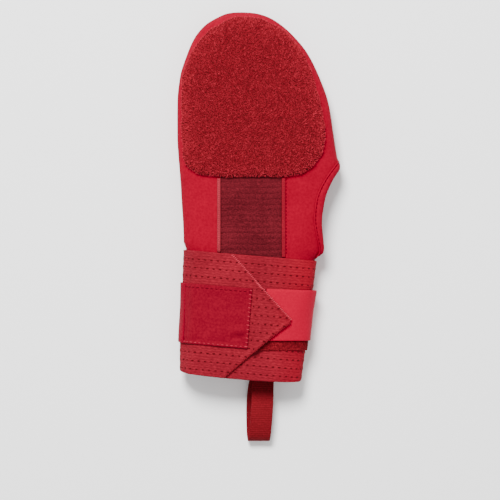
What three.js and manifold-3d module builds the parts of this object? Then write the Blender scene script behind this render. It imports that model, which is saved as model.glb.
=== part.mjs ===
// A sliding mitt for base running, lying on its back with the padded palm up.
// Millimetres. X runs across the hand towards the thumb, Y from the cuff towards the
// fingertips, and Z up from the table. A place on the mitt is given by "around", the angle
// in degrees about the hand from the middle of the palm (0) by the thumb side (90), the
// back (180) and the little finger (270), and by "down", the distance from the fingertips.
import * as THREE from "three";
import { mergeVertices } from "three/addons/utils/BufferGeometryUtils.js";
import Module from "manifold-3d";

const wasm = await Module();
wasm.setup();

// Driving sizes of the whole mitt
const MITT_LENGTH = 270;
const HAND_WIDTH = 118;
const HAND_DEPTH = 31;
const WALL = 3;
const CLEAR = 0.3;

// The hand's section: how square the palm and the back are, and where the back lies flat
const PALM_POWER = 2.6;
const BACK_POWER = 3.4;
const BACK_FLAT = 0.95;

// The cuff turns away from the hand's line between these distances from the fingertips
const CUFF_LEAN = 4.8;
const LEAN_START = 140;
const CUFF_TOP = 177;
const CUFF_BOTTOM = 264.7;
const SHELL_HEM = 5;
const HEM_BOW = 2.5;

// Thumb hole in the thumb side, just above the cuff, and the folded hem sewn round it
const THUMB_HOLE_OVER_CUFF = 5.5;
const THUMB_HOLE_LENGTH = 58;
const THUMB_HOLE_BOTTOM = CUFF_TOP - THUMB_HOLE_OVER_CUFF;
const THUMB_HOLE_TOP = THUMB_HOLE_BOTTOM - THUMB_HOLE_LENGTH;
const THUMB_HOLE_DEPTH = 9.4;
const HEM_WIDTH = 4.9;
const HEM_CLOTH = 1;

// Plush palm pad
const PAD_LENGTH = 121.5;
const PAD_THICKNESS = 3.6;
const PAD_EDGE = 1.5;
const PAD_CORNERS = { little: { across: 23, along: 14 }, thumb: { across: 26, along: 32 } };

// Ribbed elastic panel set in a window of the palm, and the tapes over its two seams
const PANEL_LEFT = -14.7;
const PANEL_RIGHT = 30.6;
const PANEL_UNDER_PAD = 9;
const PANEL_UNDER_CUFF = 8;
const PANEL_CLOTH = 1.6;
const PANEL_SUNK = 0.5;
const RIB_PITCH = 4.1;
const RIB_DEPTH = 0.5;
const TAPE_WIDTH = 2.6;
const TAPE_CLOTH = 0.9;
const TAPE_OVER_PANEL = 0.6;

// Wide cuff wrap: one strip that starts on the palm, goes once round and ends in a point
const WRAP_CLOTH = 1.6;
const WRAP_START = -46;
const TAB_BASE_SIDE = -3.5;
const TAB_POINT_SIDE = 40.3;
const TAB_BLUNT = 3.5;

// Fastener strip and cinch strap: the strap starts under the wrap's point, goes round
// outside the wrap and ends on the palm in a square patch
const STRIP_CLOTH = 1;
const STRIP_START = 14.5;
const STRIP_END = 118;
const STRIP_TOP = 203;
const STRIP_BOTTOM = 246;
const STRAP_CLOTH = 1.4;
const STRAP_START = 17;
const STRAP_TOP = 200.7;
const STRAP_BOTTOM = 239;
const STRAP_DRAWN_UP = { top: 2.4, bottom: 4 };
const PATCH_START = 297;
const PATCH_END = 364.5;
const PATCH_BOTTOM = 244.3;

// Pull loop of webbing, sewn inside the cuff's back
const LOOP_WIDTH = 16;
const LOOP_CLOTH = 1.4;
const LOOP_DROP = 49.5;
const LOOP_HEIGHT = 13.5;
const LOOP_SEWN = 11;
const LOOP_SIDE = 16.6;
const LOOP_SKEW = 4.2;

// The sections of the shell, from the fingertips to the cuff. at is a share of MITT_LENGTH,
// little and thumb are shares of HAND_WIDTH to each side of the hand's line, and depth and
// lift, the height of the back over the table, are shares of HAND_DEPTH.
const SECTIONS = [
  { at: 0.0, little: 0.0, thumb: 0.0, depth: 0.0, lift: 0.3 },
  { at: 0.0027, little: 0.072, thumb: 0.09, depth: 0.18, lift: 0.22 },
  { at: 0.0135, little: 0.136, thumb: 0.173, depth: 0.4, lift: 0.12 },
  { at: 0.035, little: 0.216, thumb: 0.253, depth: 0.6, lift: 0.04 },
  { at: 0.067, little: 0.278, thumb: 0.333, depth: 0.74, lift: 0.0 },
  { at: 0.116, little: 0.33, thumb: 0.422, depth: 0.84, lift: 0.0 },
  { at: 0.181, little: 0.376, thumb: 0.493, depth: 0.91, lift: 0.0 },
  { at: 0.245, little: 0.389, thumb: 0.542, depth: 0.95, lift: 0.0 },
  { at: 0.342, little: 0.389, thumb: 0.579, depth: 1.0, lift: 0.0 },
  { at: 0.39, little: 0.382, thumb: 0.596, depth: 1.0, lift: 0.0 },
  { at: 0.42, little: 0.376, thumb: 0.613, depth: 1.0, lift: 0.0 },
  { at: 0.512, little: 0.361, thumb: 0.583, depth: 0.97, lift: 0.0 },
  { at: 0.566, little: 0.352, thumb: 0.553, depth: 0.94, lift: 0.0 },
  { at: 0.632, little: 0.343, thumb: 0.521, depth: 0.88, lift: 0.0 },
  { at: 0.653, little: 0.324, thumb: 0.474, depth: 0.86, lift: 0.0 },
  { at: 0.72, little: 0.316, thumb: 0.464, depth: 0.85, lift: 0.0 },
  { at: 1.0, little: 0.284, thumb: 0.437, depth: 0.82, lift: 0.0 },
];

// How far the pad's edge stays inside the hand's outline on each side, at a share of
// MITT_LENGTH from the fingertips.
const PAD_MARGINS = [
  { at: 0.0, little: 4.5, thumb: 4.5 },
  { at: 0.022, little: 7.0, thumb: 3.6 },
  { at: 0.052, little: 7.0, thumb: 2.9 },
  { at: 0.085, little: 5.4, thumb: 2.8 },
  { at: 0.13, little: 4.0, thumb: 3.3 },
  { at: 0.2, little: 3.2, thumb: 4.6 },
  { at: 0.3, little: 3.5, thumb: 5.5 },
  { at: 0.37, little: 3.8, thumb: 4.6 },
];

const FULL_TURN = 360;
const THUMB_SIDE = 90;
const TURN_STEP = 7.5;
const TIP_STATIONS = 7;
const HAND_STATIONS = 11;
const SHOULDER_STATIONS = 3;
const CUFF_STATIONS = 6;

const radians = THREE.MathUtils.degToRad;
const degrees = THREE.MathUtils.radToDeg;
const { clamp, lerp, smoothstep } = THREE.MathUtils;
const range = (count) => Array.from({ length: count }, (_, i) => i);
const spread = (from, to, parts) => range(parts + 1).map((i) => lerp(from, to, i / parts));

// A smooth curve through the points that never swings past them.
function smoothCurve(xs, ys) {
  const slopes = range(xs.length - 1).map((i) => (ys[i + 1] - ys[i]) / (xs[i + 1] - xs[i]));
  const tangents = xs.map((_, i) => {
    if (i === 0) return slopes[0];
    if (i === xs.length - 1) return slopes[i - 1];
    const product = slopes[i - 1] * slopes[i];
    return product <= 0 ? 0 : (2 * product) / (slopes[i - 1] + slopes[i]);
  });
  return (x) => {
    const i = clamp(xs.findIndex((value) => value > x) - 1, 0, xs.length - 2);
    const last = x >= xs.at(-1);
    const k = last ? xs.length - 2 : i;
    const width = xs[k + 1] - xs[k];
    const t = clamp((x - xs[k]) / width, 0, 1);
    const rise = ys[k + 1] - ys[k];
    const bend = (1 - t) * (tangents[k] * width - rise) - t * (tangents[k + 1] * width - rise);
    return ys[k] + rise * t + t * (1 - t) * bend;
  };
}

// Near the fingertips every size grows with the root of the distance, so the tables are
// read along that root and the tip comes out round.
const tableCurve = (table, key) => {
  const curve = smoothCurve(
    table.map((row) => Math.sqrt(row.at)),
    table.map((row) => row[key]),
  );
  return (down) => curve(Math.sqrt(Math.max(down, 0) / MITT_LENGTH));
};
const littleShare = tableCurve(SECTIONS, "little");
const thumbShare = tableCurve(SECTIONS, "thumb");
const depthShare = tableCurve(SECTIONS, "depth");
const liftShare = tableCurve(SECTIONS, "lift");

// Under the cuff the back is raised by the wrap and the strap that it lies on.
const CUFF_STACK = CLEAR + WRAP_CLOTH + CLEAR + STRAP_CLOTH;

function section(down) {
  const little = littleShare(down) * HAND_WIDTH;
  const thumb = thumbShare(down) * HAND_WIDTH;
  const cuffRise = CUFF_STACK * smoothstep(down, THUMB_HOLE_TOP, CUFF_TOP);
  return {
    centre: (thumb - little) / 2,
    half: (thumb + little) / 2,
    rise: (depthShare(down) * HAND_DEPTH) / (1 + BACK_FLAT),
    base: liftShare(down) * HAND_DEPTH + cuffRise,
  };
}

// The hand's line runs straight from the fingertips, bends on an arc and runs on straight.
const LEAN = radians(CUFF_LEAN);
const LEAN_RADIUS = (CUFF_TOP - LEAN_START) / LEAN;

function handLine(down) {
  const angle = clamp((down - LEAN_START) / LEAN_RADIUS, 0, LEAN);
  const beyond = down - LEAN_START - angle * LEAN_RADIUS;
  return {
    x: LEAN_RADIUS * (Math.cos(angle) - 1) - beyond * Math.sin(angle),
    y: -LEAN_START - LEAN_RADIUS * Math.sin(angle) - beyond * Math.cos(angle),
    angle,
  };
}

// The distance down the hand's line, and to its side, of a point seen from above.
function unroll(x, y) {
  const angle = clamp(Math.atan2(-(y + LEAN_START), x + LEAN_RADIUS), 0, LEAN);
  const down = LEAN_START + angle * LEAN_RADIUS;
  const origin = handLine(down);
  const dx = x - origin.x;
  const dy = y - origin.y;
  return {
    down: down - dx * Math.sin(angle) - dy * Math.cos(angle),
    side: dx * Math.cos(angle) - dy * Math.sin(angle),
  };
}

function skin(around, down) {
  const { centre, half, rise, base } = section(down);
  const turn = radians(90 - around);
  const across = Math.cos(turn);
  const up = Math.sin(turn);
  const power = up > 0 ? PALM_POWER : BACK_POWER;
  const reach = (Math.abs(across) ** power + Math.abs(up) ** power) ** (-1 / power);
  const side = centre + half * reach * across;
  const z = base + rise * (BACK_FLAT + Math.max(reach * up, -BACK_FLAT));
  const line = handLine(down);
  return new THREE.Vector3(line.x + side * Math.cos(line.angle), line.y - side * Math.sin(line.angle), z);
}

const AROUND_NUDGE = 0.5;
const DOWN_NUDGE = 0.4;

// A point raised off the skin along its normal; a negative lift goes into the hand.
function raised(around, down, lift) {
  const nudge = Math.min(DOWN_NUDGE, down * 0.3);
  const across = skin(around + AROUND_NUDGE, down).sub(skin(around - AROUND_NUDGE, down));
  const along = skin(around, down + nudge).sub(skin(around, down - nudge));
  return skin(around, down).addScaledVector(along.cross(across).normalize(), lift);
}

// The angle around at which the palm lies this far to the side of the hand's line.
function palmAround(side, down) {
  const { centre, half } = section(down);
  const share = clamp((side - centre) / half, -0.999, 0.999);
  if (Math.abs(share) < 1e-6) return 0;
  const slope = (Math.abs(share) ** -PALM_POWER - 1) ** (1 / PALM_POWER);
  return Math.sign(share) * (90 - degrees(Math.atan(slope)));
}

// A point over the palm, seen from above at x, y.
function overPalm(x, y, lift) {
  const { down, side } = unroll(x, y);
  return raised(palmAround(side, down), down, lift);
}

// Solids from lists of points
function geometryFrom(points, faces) {
  const positions = points.flatMap((point) => point.toArray());
  const geometry = new THREE.BufferGeometry();
  geometry.setAttribute("position", new THREE.Float32BufferAttribute(positions, 3));
  geometry.setIndex(faces.flat());
  const merged = mergeVertices(geometry, 1e-4);
  return signedVolume(merged) < 0 ? turnedInsideOut(merged) : merged;
}

function signedVolume(geometry) {
  const { position } = geometry.attributes;
  const corner = (i) => new THREE.Vector3().fromBufferAttribute(position, geometry.index.getX(i));
  let sum = 0;
  for (let i = 0; i < geometry.index.count; i += 3)
    sum += corner(i).dot(corner(i + 1).cross(corner(i + 2)));
  return sum / 6;
}

function turnedInsideOut(geometry) {
  geometry.setIndex([...geometry.index.array].reverse());
  return geometry;
}

const quad = (a, b, c, d) => [
  [a, b, c],
  [a, c, d],
];

// A skin over rings of equal length, open or joined end to end. Open ends are closed by
// rungs between the two halves of the ring.
function loftSolid(rings, { endless = false } = {}) {
  const size = rings[0].length;
  const faces = [];
  const spans = endless ? rings.length : rings.length - 1;
  for (const r of range(spans))
    for (const i of range(size)) {
      const next = (i + 1) % size;
      const ringAfter = ((r + 1) % rings.length) * size;
      faces.push(...quad(r * size + i, r * size + next, ringAfter + next, ringAfter + i));
    }
  if (!endless)
    for (const i of range(size / 2 - 1)) {
      const rung = [i, size - 1 - i, size - 2 - i, i + 1];
      faces.push(...quad(...rung));
      faces.push(...quad(...rung.reverse().map((k) => (rings.length - 1) * size + k)));
    }
  return geometryFrom(rings.flat(), faces);
}

// A patch inside an outline, built in rings about its centre, between two lifts that may
// change from the centre (0) to the edge (1).
function patchSolid(outline, centre, ringShares, place, { bottom, top }) {
  const size = outline.length;
  const level = (lift) => [
    place(centre.x, centre.y, lift(0)),
    ...ringShares.flatMap((share) =>
      outline.map((p) => place(lerp(centre.x, p.x, share), lerp(centre.y, p.y, share), lift(share))),
    ),
  ];
  const points = [...level(top), ...level(bottom)];
  const under = 1 + ringShares.length * size;
  const faces = [];
  for (const i of range(size)) {
    const next = (i + 1) % size;
    faces.push([0, 1 + i, 1 + next], [under, under + 1 + next, under + 1 + i]);
    for (const r of range(ringShares.length - 1)) {
      const inner = 1 + r * size;
      const outer = inner + size;
      faces.push(...quad(inner + i, outer + i, outer + next, inner + next));
      faces.push(...quad(under + inner + next, under + outer + next, under + outer + i, under + inner + i));
    }
    const edge = 1 + (ringShares.length - 1) * size;
    faces.push(...quad(edge + i, under + edge + i, under + edge + next, edge + next));
  }
  return geometryFrom(points, faces);
}

function cut(geometry, ...cutters) {
  const solid = (g) =>
    new wasm.Manifold(
      new wasm.Mesh({
        numProp: 3,
        vertProperties: g.attributes.position.array,
        triVerts: new Uint32Array(g.index.array),
      }),
    );
  const left = cutters.reduce((whole, cutter) => whole.subtract(solid(cutter)), solid(geometry));
  const mesh = left.getMesh();
  const result = new THREE.BufferGeometry();
  result.setAttribute("position", new THREE.BufferAttribute(mesh.vertProperties, 3));
  result.setIndex(new THREE.BufferAttribute(mesh.triVerts, 1));
  return result;
}

// Shell: a hollow bag, open at the cuff, with the thumb hole and the panel's window cut out
const TIP_END = 36;
const SHOULDER_TOP = CUFF_TOP - 8;
const SHOULDER_END = CUFF_TOP - 1;

function shellBag() {
  const stations = [
    ...spread(0, Math.sqrt(TIP_END), TIP_STATIONS).slice(1).map((root) => root * root),
    ...spread(TIP_END, SHOULDER_TOP, HAND_STATIONS).slice(1),
    ...spread(SHOULDER_TOP, SHOULDER_END, SHOULDER_STATIONS).slice(1),
    ...spread(SHOULDER_END, CUFF_BOTTOM - SHELL_HEM, CUFF_STATIONS).slice(1),
  ];
  const turns = range(FULL_TURN / TURN_STEP).map((i) => i * TURN_STEP);
  const rings = (lift) => stations.map((down) => turns.map((around) => raised(around, down, lift)));
  const tip = skin(0, 0);
  const outer = [turns.map(() => tip), ...rings(0)];
  const inner = [turns.map(() => tip.clone().setY(tip.y - WALL)), ...rings(-WALL)];
  return loftSolidWithoutCaps([...outer, ...inner.reverse()]);
}

// A skin over rings whose first and last ring have shrunk to a point each.
function loftSolidWithoutCaps(rings) {
  const size = rings[0].length;
  const faces = [];
  for (const r of range(rings.length - 1))
    for (const i of range(size)) {
      const next = (i + 1) % size;
      const here = r * size;
      const after = here + size;
      if (r > 0) faces.push([here + i, here + next, after + next]);
      if (r < rings.length - 2) faces.push([here + i, after + next, after + i]);
      if (r === 0) faces[faces.length - 1] = [here, after + next, after + i];
      if (r === rings.length - 2) faces[faces.length - 1] = [here + i, here + next, after];
    }
  return geometryFrom(rings.flat(), faces);
}

// The edge of the thumb hole, moved out from the hole by a margin. Seen from above it is a
// shallow bay in the thumb side, the same in the palm and in the back.
const HOLE_SKEW = 0.85;
const HOLE_POINTS = 40;

function holeEdge(margin) {
  const top = THUMB_HOLE_TOP - margin;
  const bottom = THUMB_HOLE_BOTTOM + margin;
  return range(HOLE_POINTS).map((i) => {
    const turn = (2 * Math.PI * i) / HOLE_POINTS;
    const along = (1 - Math.cos(turn)) / 2;
    const down = lerp(top, bottom, along);
    const bay = (THUMB_HOLE_DEPTH + margin) * Math.sin(Math.PI * along ** HOLE_SKEW);
    const share = clamp(1 - bay / section(down).half, 0, 1);
    const onPalm = turn <= Math.PI;
    const power = onPalm ? PALM_POWER : BACK_POWER;
    const slope = (share ** -power - 1) ** (1 / power);
    return { x: THUMB_SIDE + degrees(Math.atan(slope)) * (onPalm ? -1 : 1), y: down };
  });
}

const CUT_OVERRUN = 2;
const constant = (value) => () => value;

function thumbHoleCutter() {
  const centre = { x: THUMB_SIDE, y: (THUMB_HOLE_TOP + THUMB_HOLE_BOTTOM) / 2 };
  const lifts = { bottom: constant(-WALL - CUT_OVERRUN), top: constant(CUT_OVERRUN) };
  return patchSolid(holeEdge(0), centre, [0.5, 1], raised, lifts);
}

// Thumb hem: a folded edge, with a flange on the shell and a lip down the cut
function thumbHem() {
  const seat = 1.5 * CLEAR;
  const flange = seat + HEM_CLOTH;
  const lip = -3 * CLEAR;
  const across = spread(HEM_WIDTH, lip, 4);
  const profile = [
    ...across.map((margin) => ({ margin, lift: flange })),
    { margin: lip - HEM_CLOTH, lift: flange - HEM_CLOTH / 2 },
    { margin: lip - HEM_CLOTH, lift: -WALL },
    { margin: lip, lift: -WALL },
    ...across.map((margin) => ({ margin, lift: seat })).reverse(),
  ];
  const edges = profile.map(({ margin, lift }) => holeEdge(margin).map((p) => raised(p.x, p.y, lift)));
  const rings = range(HOLE_POINTS).map((i) => edges.map((edge) => edge[i]));
  return loftSolid(rings, { endless: true });
}

// Palm pad: follows the hand's outline at a margin, with two round corners at its heel
const PAD_SIDE_POINTS = 15;
const PAD_CORNER_POINTS = 5;
const PAD_HEEL_POINTS = 6;
const PAD_RINGS = [0.2, 0.4, 0.57, 0.72, 0.84, 0.93, 0.98, 1];
const PAD_SHOULDER = 0.7;
const littlePadMargin = tableCurve(PAD_MARGINS, "little");
const thumbPadMargin = tableCurve(PAD_MARGINS, "thumb");

function padSide(share, margin, corner, sign) {
  const point = (root) => {
    const down = root * root;
    return new THREE.Vector2(sign * share(down) * HAND_WIDTH, -down);
  };
  const cornerTop = PAD_LENGTH - corner.along;
  const roots = spread(0, Math.sqrt(cornerTop), PAD_SIDE_POINTS);
  const sides = roots.slice(1).map((root) => {
    const tangent = point(root + 0.01).sub(point(root - 0.01)).normalize();
    const inwards = new THREE.Vector2(sign * tangent.y, -sign * tangent.x);
    return point(root).addScaledVector(inwards, margin(root * root));
  });
  const end = sides.at(-1);
  const turns = spread(0, Math.PI / 2, PAD_CORNER_POINTS).slice(1);
  const round = turns.map(
    (turn) =>
      new THREE.Vector2(
        end.x - sign * corner.across * (1 - Math.cos(turn)),
        lerp(end.y, -PAD_LENGTH, Math.sin(turn)),
      ),
  );
  return [...sides, ...round];
}

function padOutline() {
  const tip = new THREE.Vector2(0, -thumbPadMargin(0));
  const thumbSide = padSide(thumbShare, thumbPadMargin, PAD_CORNERS.thumb, 1);
  const littleSide = padSide(littleShare, littlePadMargin, PAD_CORNERS.little, -1);
  const heel = range(PAD_HEEL_POINTS).map((i) =>
    thumbSide.at(-1).clone().lerp(littleSide.at(-1), (i + 1) / (PAD_HEEL_POINTS + 1)),
  );
  return [tip, ...thumbSide, ...heel, ...littleSide.reverse()];
}

function palmPad() {
  const round = (share) => Math.sqrt(1 - clamp((share - PAD_SHOULDER) / (1 - PAD_SHOULDER), 0, 1) ** 2);
  const top = (share) => CLEAR + lerp(PAD_EDGE, PAD_THICKNESS, round(share));
  const centre = { x: (thumbShare(PAD_LENGTH / 2) - littleShare(PAD_LENGTH / 2)) * HAND_WIDTH * 0.5, y: -PAD_LENGTH / 2 };
  return patchSolid(padOutline(), centre, PAD_RINGS, overPalm, { bottom: constant(CLEAR), top });
}

// Elastic panel: a ribbed cloth in a window of the shell that runs under the pad and cuff
const PANEL_TOP = PAD_LENGTH - PANEL_UNDER_PAD;

// How far below the fingertips the cuff's leaning top edge is at this place across.
function cuffEdge(x) {
  const line = handLine(CUFF_TOP);
  return (x - line.x) * Math.tan(line.angle) - line.y;
}

// A slab over the palm between two sides, from a level top to past the cuff's leaning edge.
function palmSlab({ left, right, top, pastCuff, columns, rows, low, high }) {
  const xs = spread(left, right, columns);
  const rings = range(rows + 1).map((row) => {
    const y = (x) => -lerp(top, cuffEdge(x) + pastCuff, row / rows);
    return [
      ...xs.map((x) => overPalm(x, y(x), high(row))),
      ...xs.map((x) => overPalm(x, y(x), low(row))).reverse(),
    ];
  });
  return loftSolid(rings);
}

function windowCutter() {
  return palmSlab({
    left: PANEL_LEFT,
    right: PANEL_RIGHT,
    top: PANEL_TOP,
    pastCuff: PANEL_UNDER_CUFF,
    columns: 6,
    rows: 8,
    low: constant(-WALL - CUT_OVERRUN),
    high: constant(CUT_OVERRUN),
  });
}

function elasticPanel() {
  const length = CUFF_TOP + PANEL_UNDER_CUFF - PANEL_TOP - 2 * CLEAR;
  return palmSlab({
    left: PANEL_LEFT + CLEAR,
    right: PANEL_RIGHT - CLEAR,
    top: PANEL_TOP + CLEAR,
    pastCuff: PANEL_UNDER_CUFF - CLEAR,
    columns: 4,
    rows: 2 * Math.round(length / RIB_PITCH),
    low: constant(-PANEL_SUNK - PANEL_CLOTH),
    high: (row) => -PANEL_SUNK - (row % 2) * RIB_DEPTH,
  });
}

function seamTape(left) {
  return palmSlab({
    left,
    right: left + TAPE_WIDTH,
    top: PAD_LENGTH + 2 * CLEAR,
    pastCuff: -2 * CLEAR,
    columns: 2,
    rows: 10,
    low: constant(CLEAR),
    high: constant(CLEAR + TAPE_CLOTH),
  });
}

// Cuff wrap, fastener strip, cinch strap and patch: strips wound about the cuff
const CUFF_MIDDLE = (CUFF_TOP + CUFF_BOTTOM) / 2;

// The wrap climbs over its own start, and its point climbs over the fastener strip and the
// strap. The strap steps down from the fastener strip where that ends.
const CLIMB_GAP = 1;
const CLIMB = 15;
const SHORT_CLIMB = 7;
const climbBefore = (around, length) => ({ from: around - CLIMB_GAP - length, to: around - CLIMB_GAP });
const LAP_CLIMB = climbBefore(FULL_TURN + WRAP_START, CLIMB);
const POINT_CLIMB = climbBefore(FULL_TURN + STRIP_START, SHORT_CLIMB);
const STRAP_DROP = { from: STRIP_END + CLIMB_GAP, to: STRIP_END + CLIMB_GAP + CLIMB };
const climbed = (around, { from, to }) => smoothstep(around, from, to);

function wrapLift(around) {
  const overStart = (WRAP_CLOTH + CLEAR) * climbed(around, LAP_CLIMB);
  const overStrap = (STRIP_CLOTH + STRAP_CLOTH + 2 * CLEAR) * climbed(around, POINT_CLIMB);
  return CLEAR + overStart + overStrap;
}

function strapLift(around) {
  const overStrip = (STRIP_CLOTH + CLEAR) * (1 - climbed(around, STRAP_DROP));
  return wrapLift(around) + WRAP_CLOTH + CLEAR + overStrip;
}

// A strip of cloth wound from one angle to another, between an upper and a lower edge.
function woundStrip(stations, { lift, cloth, top, bottom, columns }) {
  const rings = stations.map((around) => {
    const downs = spread(top(around), bottom(around), columns);
    return [
      ...downs.map((down) => raised(around, down, lift(around) + cloth)),
      ...downs.map((down) => raised(around, down, lift(around))).reverse(),
    ];
  });
  return loftSolid(rings);
}

// Every strip has its sections at the same angles as the shell, so that they nest.
const CLIMB_STATIONS = [LAP_CLIMB, POINT_CLIMB, STRAP_DROP].flatMap(({ from, to }) => spread(from, to, 4));

function stationsBetween(from, to) {
  const steps = range(90).map((i) => i * TURN_STEP - FULL_TURN / 4);
  const within = [...steps, ...CLIMB_STATIONS].filter((around) => around > from + 1 && around < to - 1);
  return [from, ...within.sort((a, b) => a - b), to];
}

const hem = (around) => CUFF_BOTTOM + HEM_BOW * Math.max(0, Math.cos(radians(around)));

// The share of the wrap's full width that is left at this angle of its pointed end.
function tabShare(around) {
  if (around < FULL_TURN - 90) return 1;
  const base = FULL_TURN + palmAround(TAB_BASE_SIDE, CUFF_MIDDLE);
  if (around <= base) return 1;
  const { centre, half } = section(CUFF_MIDDLE);
  const turn = radians(90 - (around - FULL_TURN));
  const reach = (Math.abs(Math.cos(turn)) ** PALM_POWER + Math.abs(Math.sin(turn)) ** PALM_POWER) ** (-1 / PALM_POWER);
  const side = centre + half * reach * Math.cos(turn);
  const blunt = TAB_BLUNT / (CUFF_BOTTOM - CUFF_TOP);
  return lerp(1, blunt, clamp((side - TAB_BASE_SIDE) / (TAB_POINT_SIDE - TAB_BASE_SIDE), 0, 1));
}

function cuffWrap() {
  const tabBase = FULL_TURN + palmAround(TAB_BASE_SIDE, CUFF_MIDDLE);
  const tabPoint = FULL_TURN + palmAround(TAB_POINT_SIDE, CUFF_MIDDLE);
  const middle = (around) => (CUFF_TOP + hem(around)) / 2;
  const halfWidth = (around) => ((hem(around) - CUFF_TOP) / 2) * tabShare(around);
  return woundStrip([...stationsBetween(WRAP_START, tabBase), ...stationsBetween(tabBase, tabPoint).slice(1)], {
    lift: wrapLift,
    cloth: WRAP_CLOTH,
    top: (around) => middle(around) - halfWidth(around),
    bottom: (around) => middle(around) + halfWidth(around),
    columns: 4,
  });
}

// On the thumb side the strap is drawn up towards the hand, and the strip under it as well.
const drawnUp = (around, reach) => reach * Math.sin(radians(clamp(around, 0, 180)));

function fastenerStrip() {
  return woundStrip(stationsBetween(STRIP_START, STRIP_END), {
    lift: constant(2 * CLEAR + WRAP_CLOTH),
    cloth: STRIP_CLOTH,
    top: constant(STRIP_TOP),
    bottom: (around) => STRIP_BOTTOM - drawnUp(around, STRAP_DRAWN_UP.bottom),
    columns: 2,
  });
}

// The strap and the patch on its end share their edges and widen towards the patch's end.
function strapPiece(from, to) {
  const straight = (around) => lerp(STRAP_BOTTOM, PATCH_BOTTOM, smoothstep(around, 180, PATCH_START));
  return woundStrip(stationsBetween(from, to), {
    lift: strapLift,
    cloth: STRAP_CLOTH,
    top: (around) => STRAP_TOP - drawnUp(around, STRAP_DRAWN_UP.top),
    bottom: (around) => straight(around) - drawnUp(around, STRAP_DRAWN_UP.bottom),
    columns: 2,
  });
}

// Pull loop: webbing doubled back on itself, both ends sewn inside the cuff's back
const LOOP_STEPS = 30;

function pullLoop() {
  const hemLine = handLine(CUFF_BOTTOM);
  const cuffBack = section(CUFF_BOTTOM - SHELL_HEM).base + WALL;
  const lower = cuffBack + 2 * CLEAR + LOOP_CLOTH / 2;
  const upper = lower + CLEAR + LOOP_CLOTH;
  const floor = LOOP_CLOTH / 2;
  const crest = LOOP_HEIGHT - LOOP_CLOTH / 2;
  const fold = LOOP_DROP - LOOP_CLOTH / 2;
  // How far each point lies past the hem, its height, and its share of the sideways skew.
  const route = [
    { past: -LOOP_SEWN, z: upper, skew: 0 },
    { past: -LOOP_SEWN / 3, z: upper, skew: 0 },
    { past: 0.22 * fold, z: lerp(upper, crest, 0.6), skew: 0.05 },
    { past: 0.5 * fold, z: crest, skew: 0.15 },
    { past: 0.78 * fold, z: lerp(floor, crest, 0.93), skew: 0.4 },
    { past: 0.95 * fold, z: lerp(floor, crest, 0.75), skew: 0.6 },
    { past: fold, z: lerp(floor, crest, 0.45), skew: 0.75 },
    { past: 0.94 * fold, z: lerp(floor, crest, 0.13), skew: 0.9 },
    { past: 0.78 * fold, z: floor, skew: 1 },
    { past: 0.5 * fold, z: lerp(floor, lower, 0.2), skew: 1 },
    { past: 0.2 * fold, z: lerp(floor, lower, 0.75), skew: 0.7 },
    { past: -LOOP_SEWN / 3, z: lower, skew: 0 },
    { past: -LOOP_SEWN, z: lower, skew: 0 },
  ];
  const point = ({ past, z, skew }) => new THREE.Vector3(LOOP_SIDE - LOOP_SKEW * skew, hemLine.y - past, z);
  const curve = new THREE.CatmullRomCurve3(route.map(point), false, "centripetal");
  const rings = range(LOOP_STEPS + 1).map((i) => {
    const middle = curve.getPointAt(i / LOOP_STEPS);
    const tangent = curve.getTangentAt(i / LOOP_STEPS);
    const out = new THREE.Vector3(0, -tangent.z, tangent.y).setLength(LOOP_CLOTH / 2);
    const across = new THREE.Vector3(LOOP_WIDTH / 2, 0, 0);
    const corner = (a, o) => middle.clone().addScaledVector(across, a).addScaledVector(out, o);
    return [corner(-1, 1), corner(1, 1), corner(1, -1), corner(-1, -1)];
  });
  return loftSolid(rings);
}

// Finishes
const cloth = (color, roughness) => new THREE.MeshStandardMaterial({ color, roughness, metalness: 0 });
const NEOPRENE = cloth("#c22231", 0.75);
const PLUSH = cloth("#981b24", 1);
const RIBBED_ELASTIC = cloth("#7a1e25", 0.9);
const WRAP_KNIT = cloth("#aa2a33", 0.85);
const STRAP_ELASTIC = cloth("#cd2837", 0.7);
const PATCH_CLOTH = cloth("#ac1c29", 0.8);
const FASTENER = cloth("#6d1217", 1);
const SEAM_TAPE = cloth("#b53740", 0.8);
const WEBBING = cloth("#82171e", 0.8);

const mitt = new THREE.Group();

function addPiece(name, geometry, material) {
  const piece = new THREE.Mesh(geometry, material);
  piece.name = name;
  mitt.add(piece);
}

addPiece("shell", cut(shellBag(), thumbHoleCutter(), windowCutter()), NEOPRENE);
addPiece("thumb_hem", thumbHem(), NEOPRENE);
addPiece("palm_pad", palmPad(), PLUSH);
addPiece("elastic_panel", elasticPanel(), RIBBED_ELASTIC);
addPiece("seam_tape_little", seamTape(PANEL_LEFT + TAPE_OVER_PANEL - TAPE_WIDTH), SEAM_TAPE);
addPiece("seam_tape_thumb", seamTape(PANEL_RIGHT - TAPE_OVER_PANEL), SEAM_TAPE);
addPiece("cuff_wrap", cuffWrap(), WRAP_KNIT);
addPiece("fastener_strip", fastenerStrip(), FASTENER);
addPiece("cinch_strap", strapPiece(STRAP_START, PATCH_START - 2 * CLEAR), STRAP_ELASTIC);
addPiece("strap_patch", strapPiece(PATCH_START, PATCH_END), PATCH_CLOTH);
addPiece("pull_loop", pullLoop(), WEBBING);

// The origin is on the table, under the middle of the whole mitt.
const bounds = new THREE.Box3().setFromObject(mitt);
const middle = bounds.getCenter(new THREE.Vector3());
mitt.position.set(-middle.x, -middle.y, -bounds.min.z);

const part = new THREE.Group();
part.add(mitt);

export default part;
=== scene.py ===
"""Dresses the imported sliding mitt: neoprene, plush, knits, webbing and every row of stitches.

Lengths are in millimetres up to the making of a mesh, which turns them to metres and puts
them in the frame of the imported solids. A place on the mitt is "around", the angle in degrees
about the hand from the middle of the palm by the thumb side, and "down", the distance from
the fingertips along the hand's line.
"""

from __future__ import annotations

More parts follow.
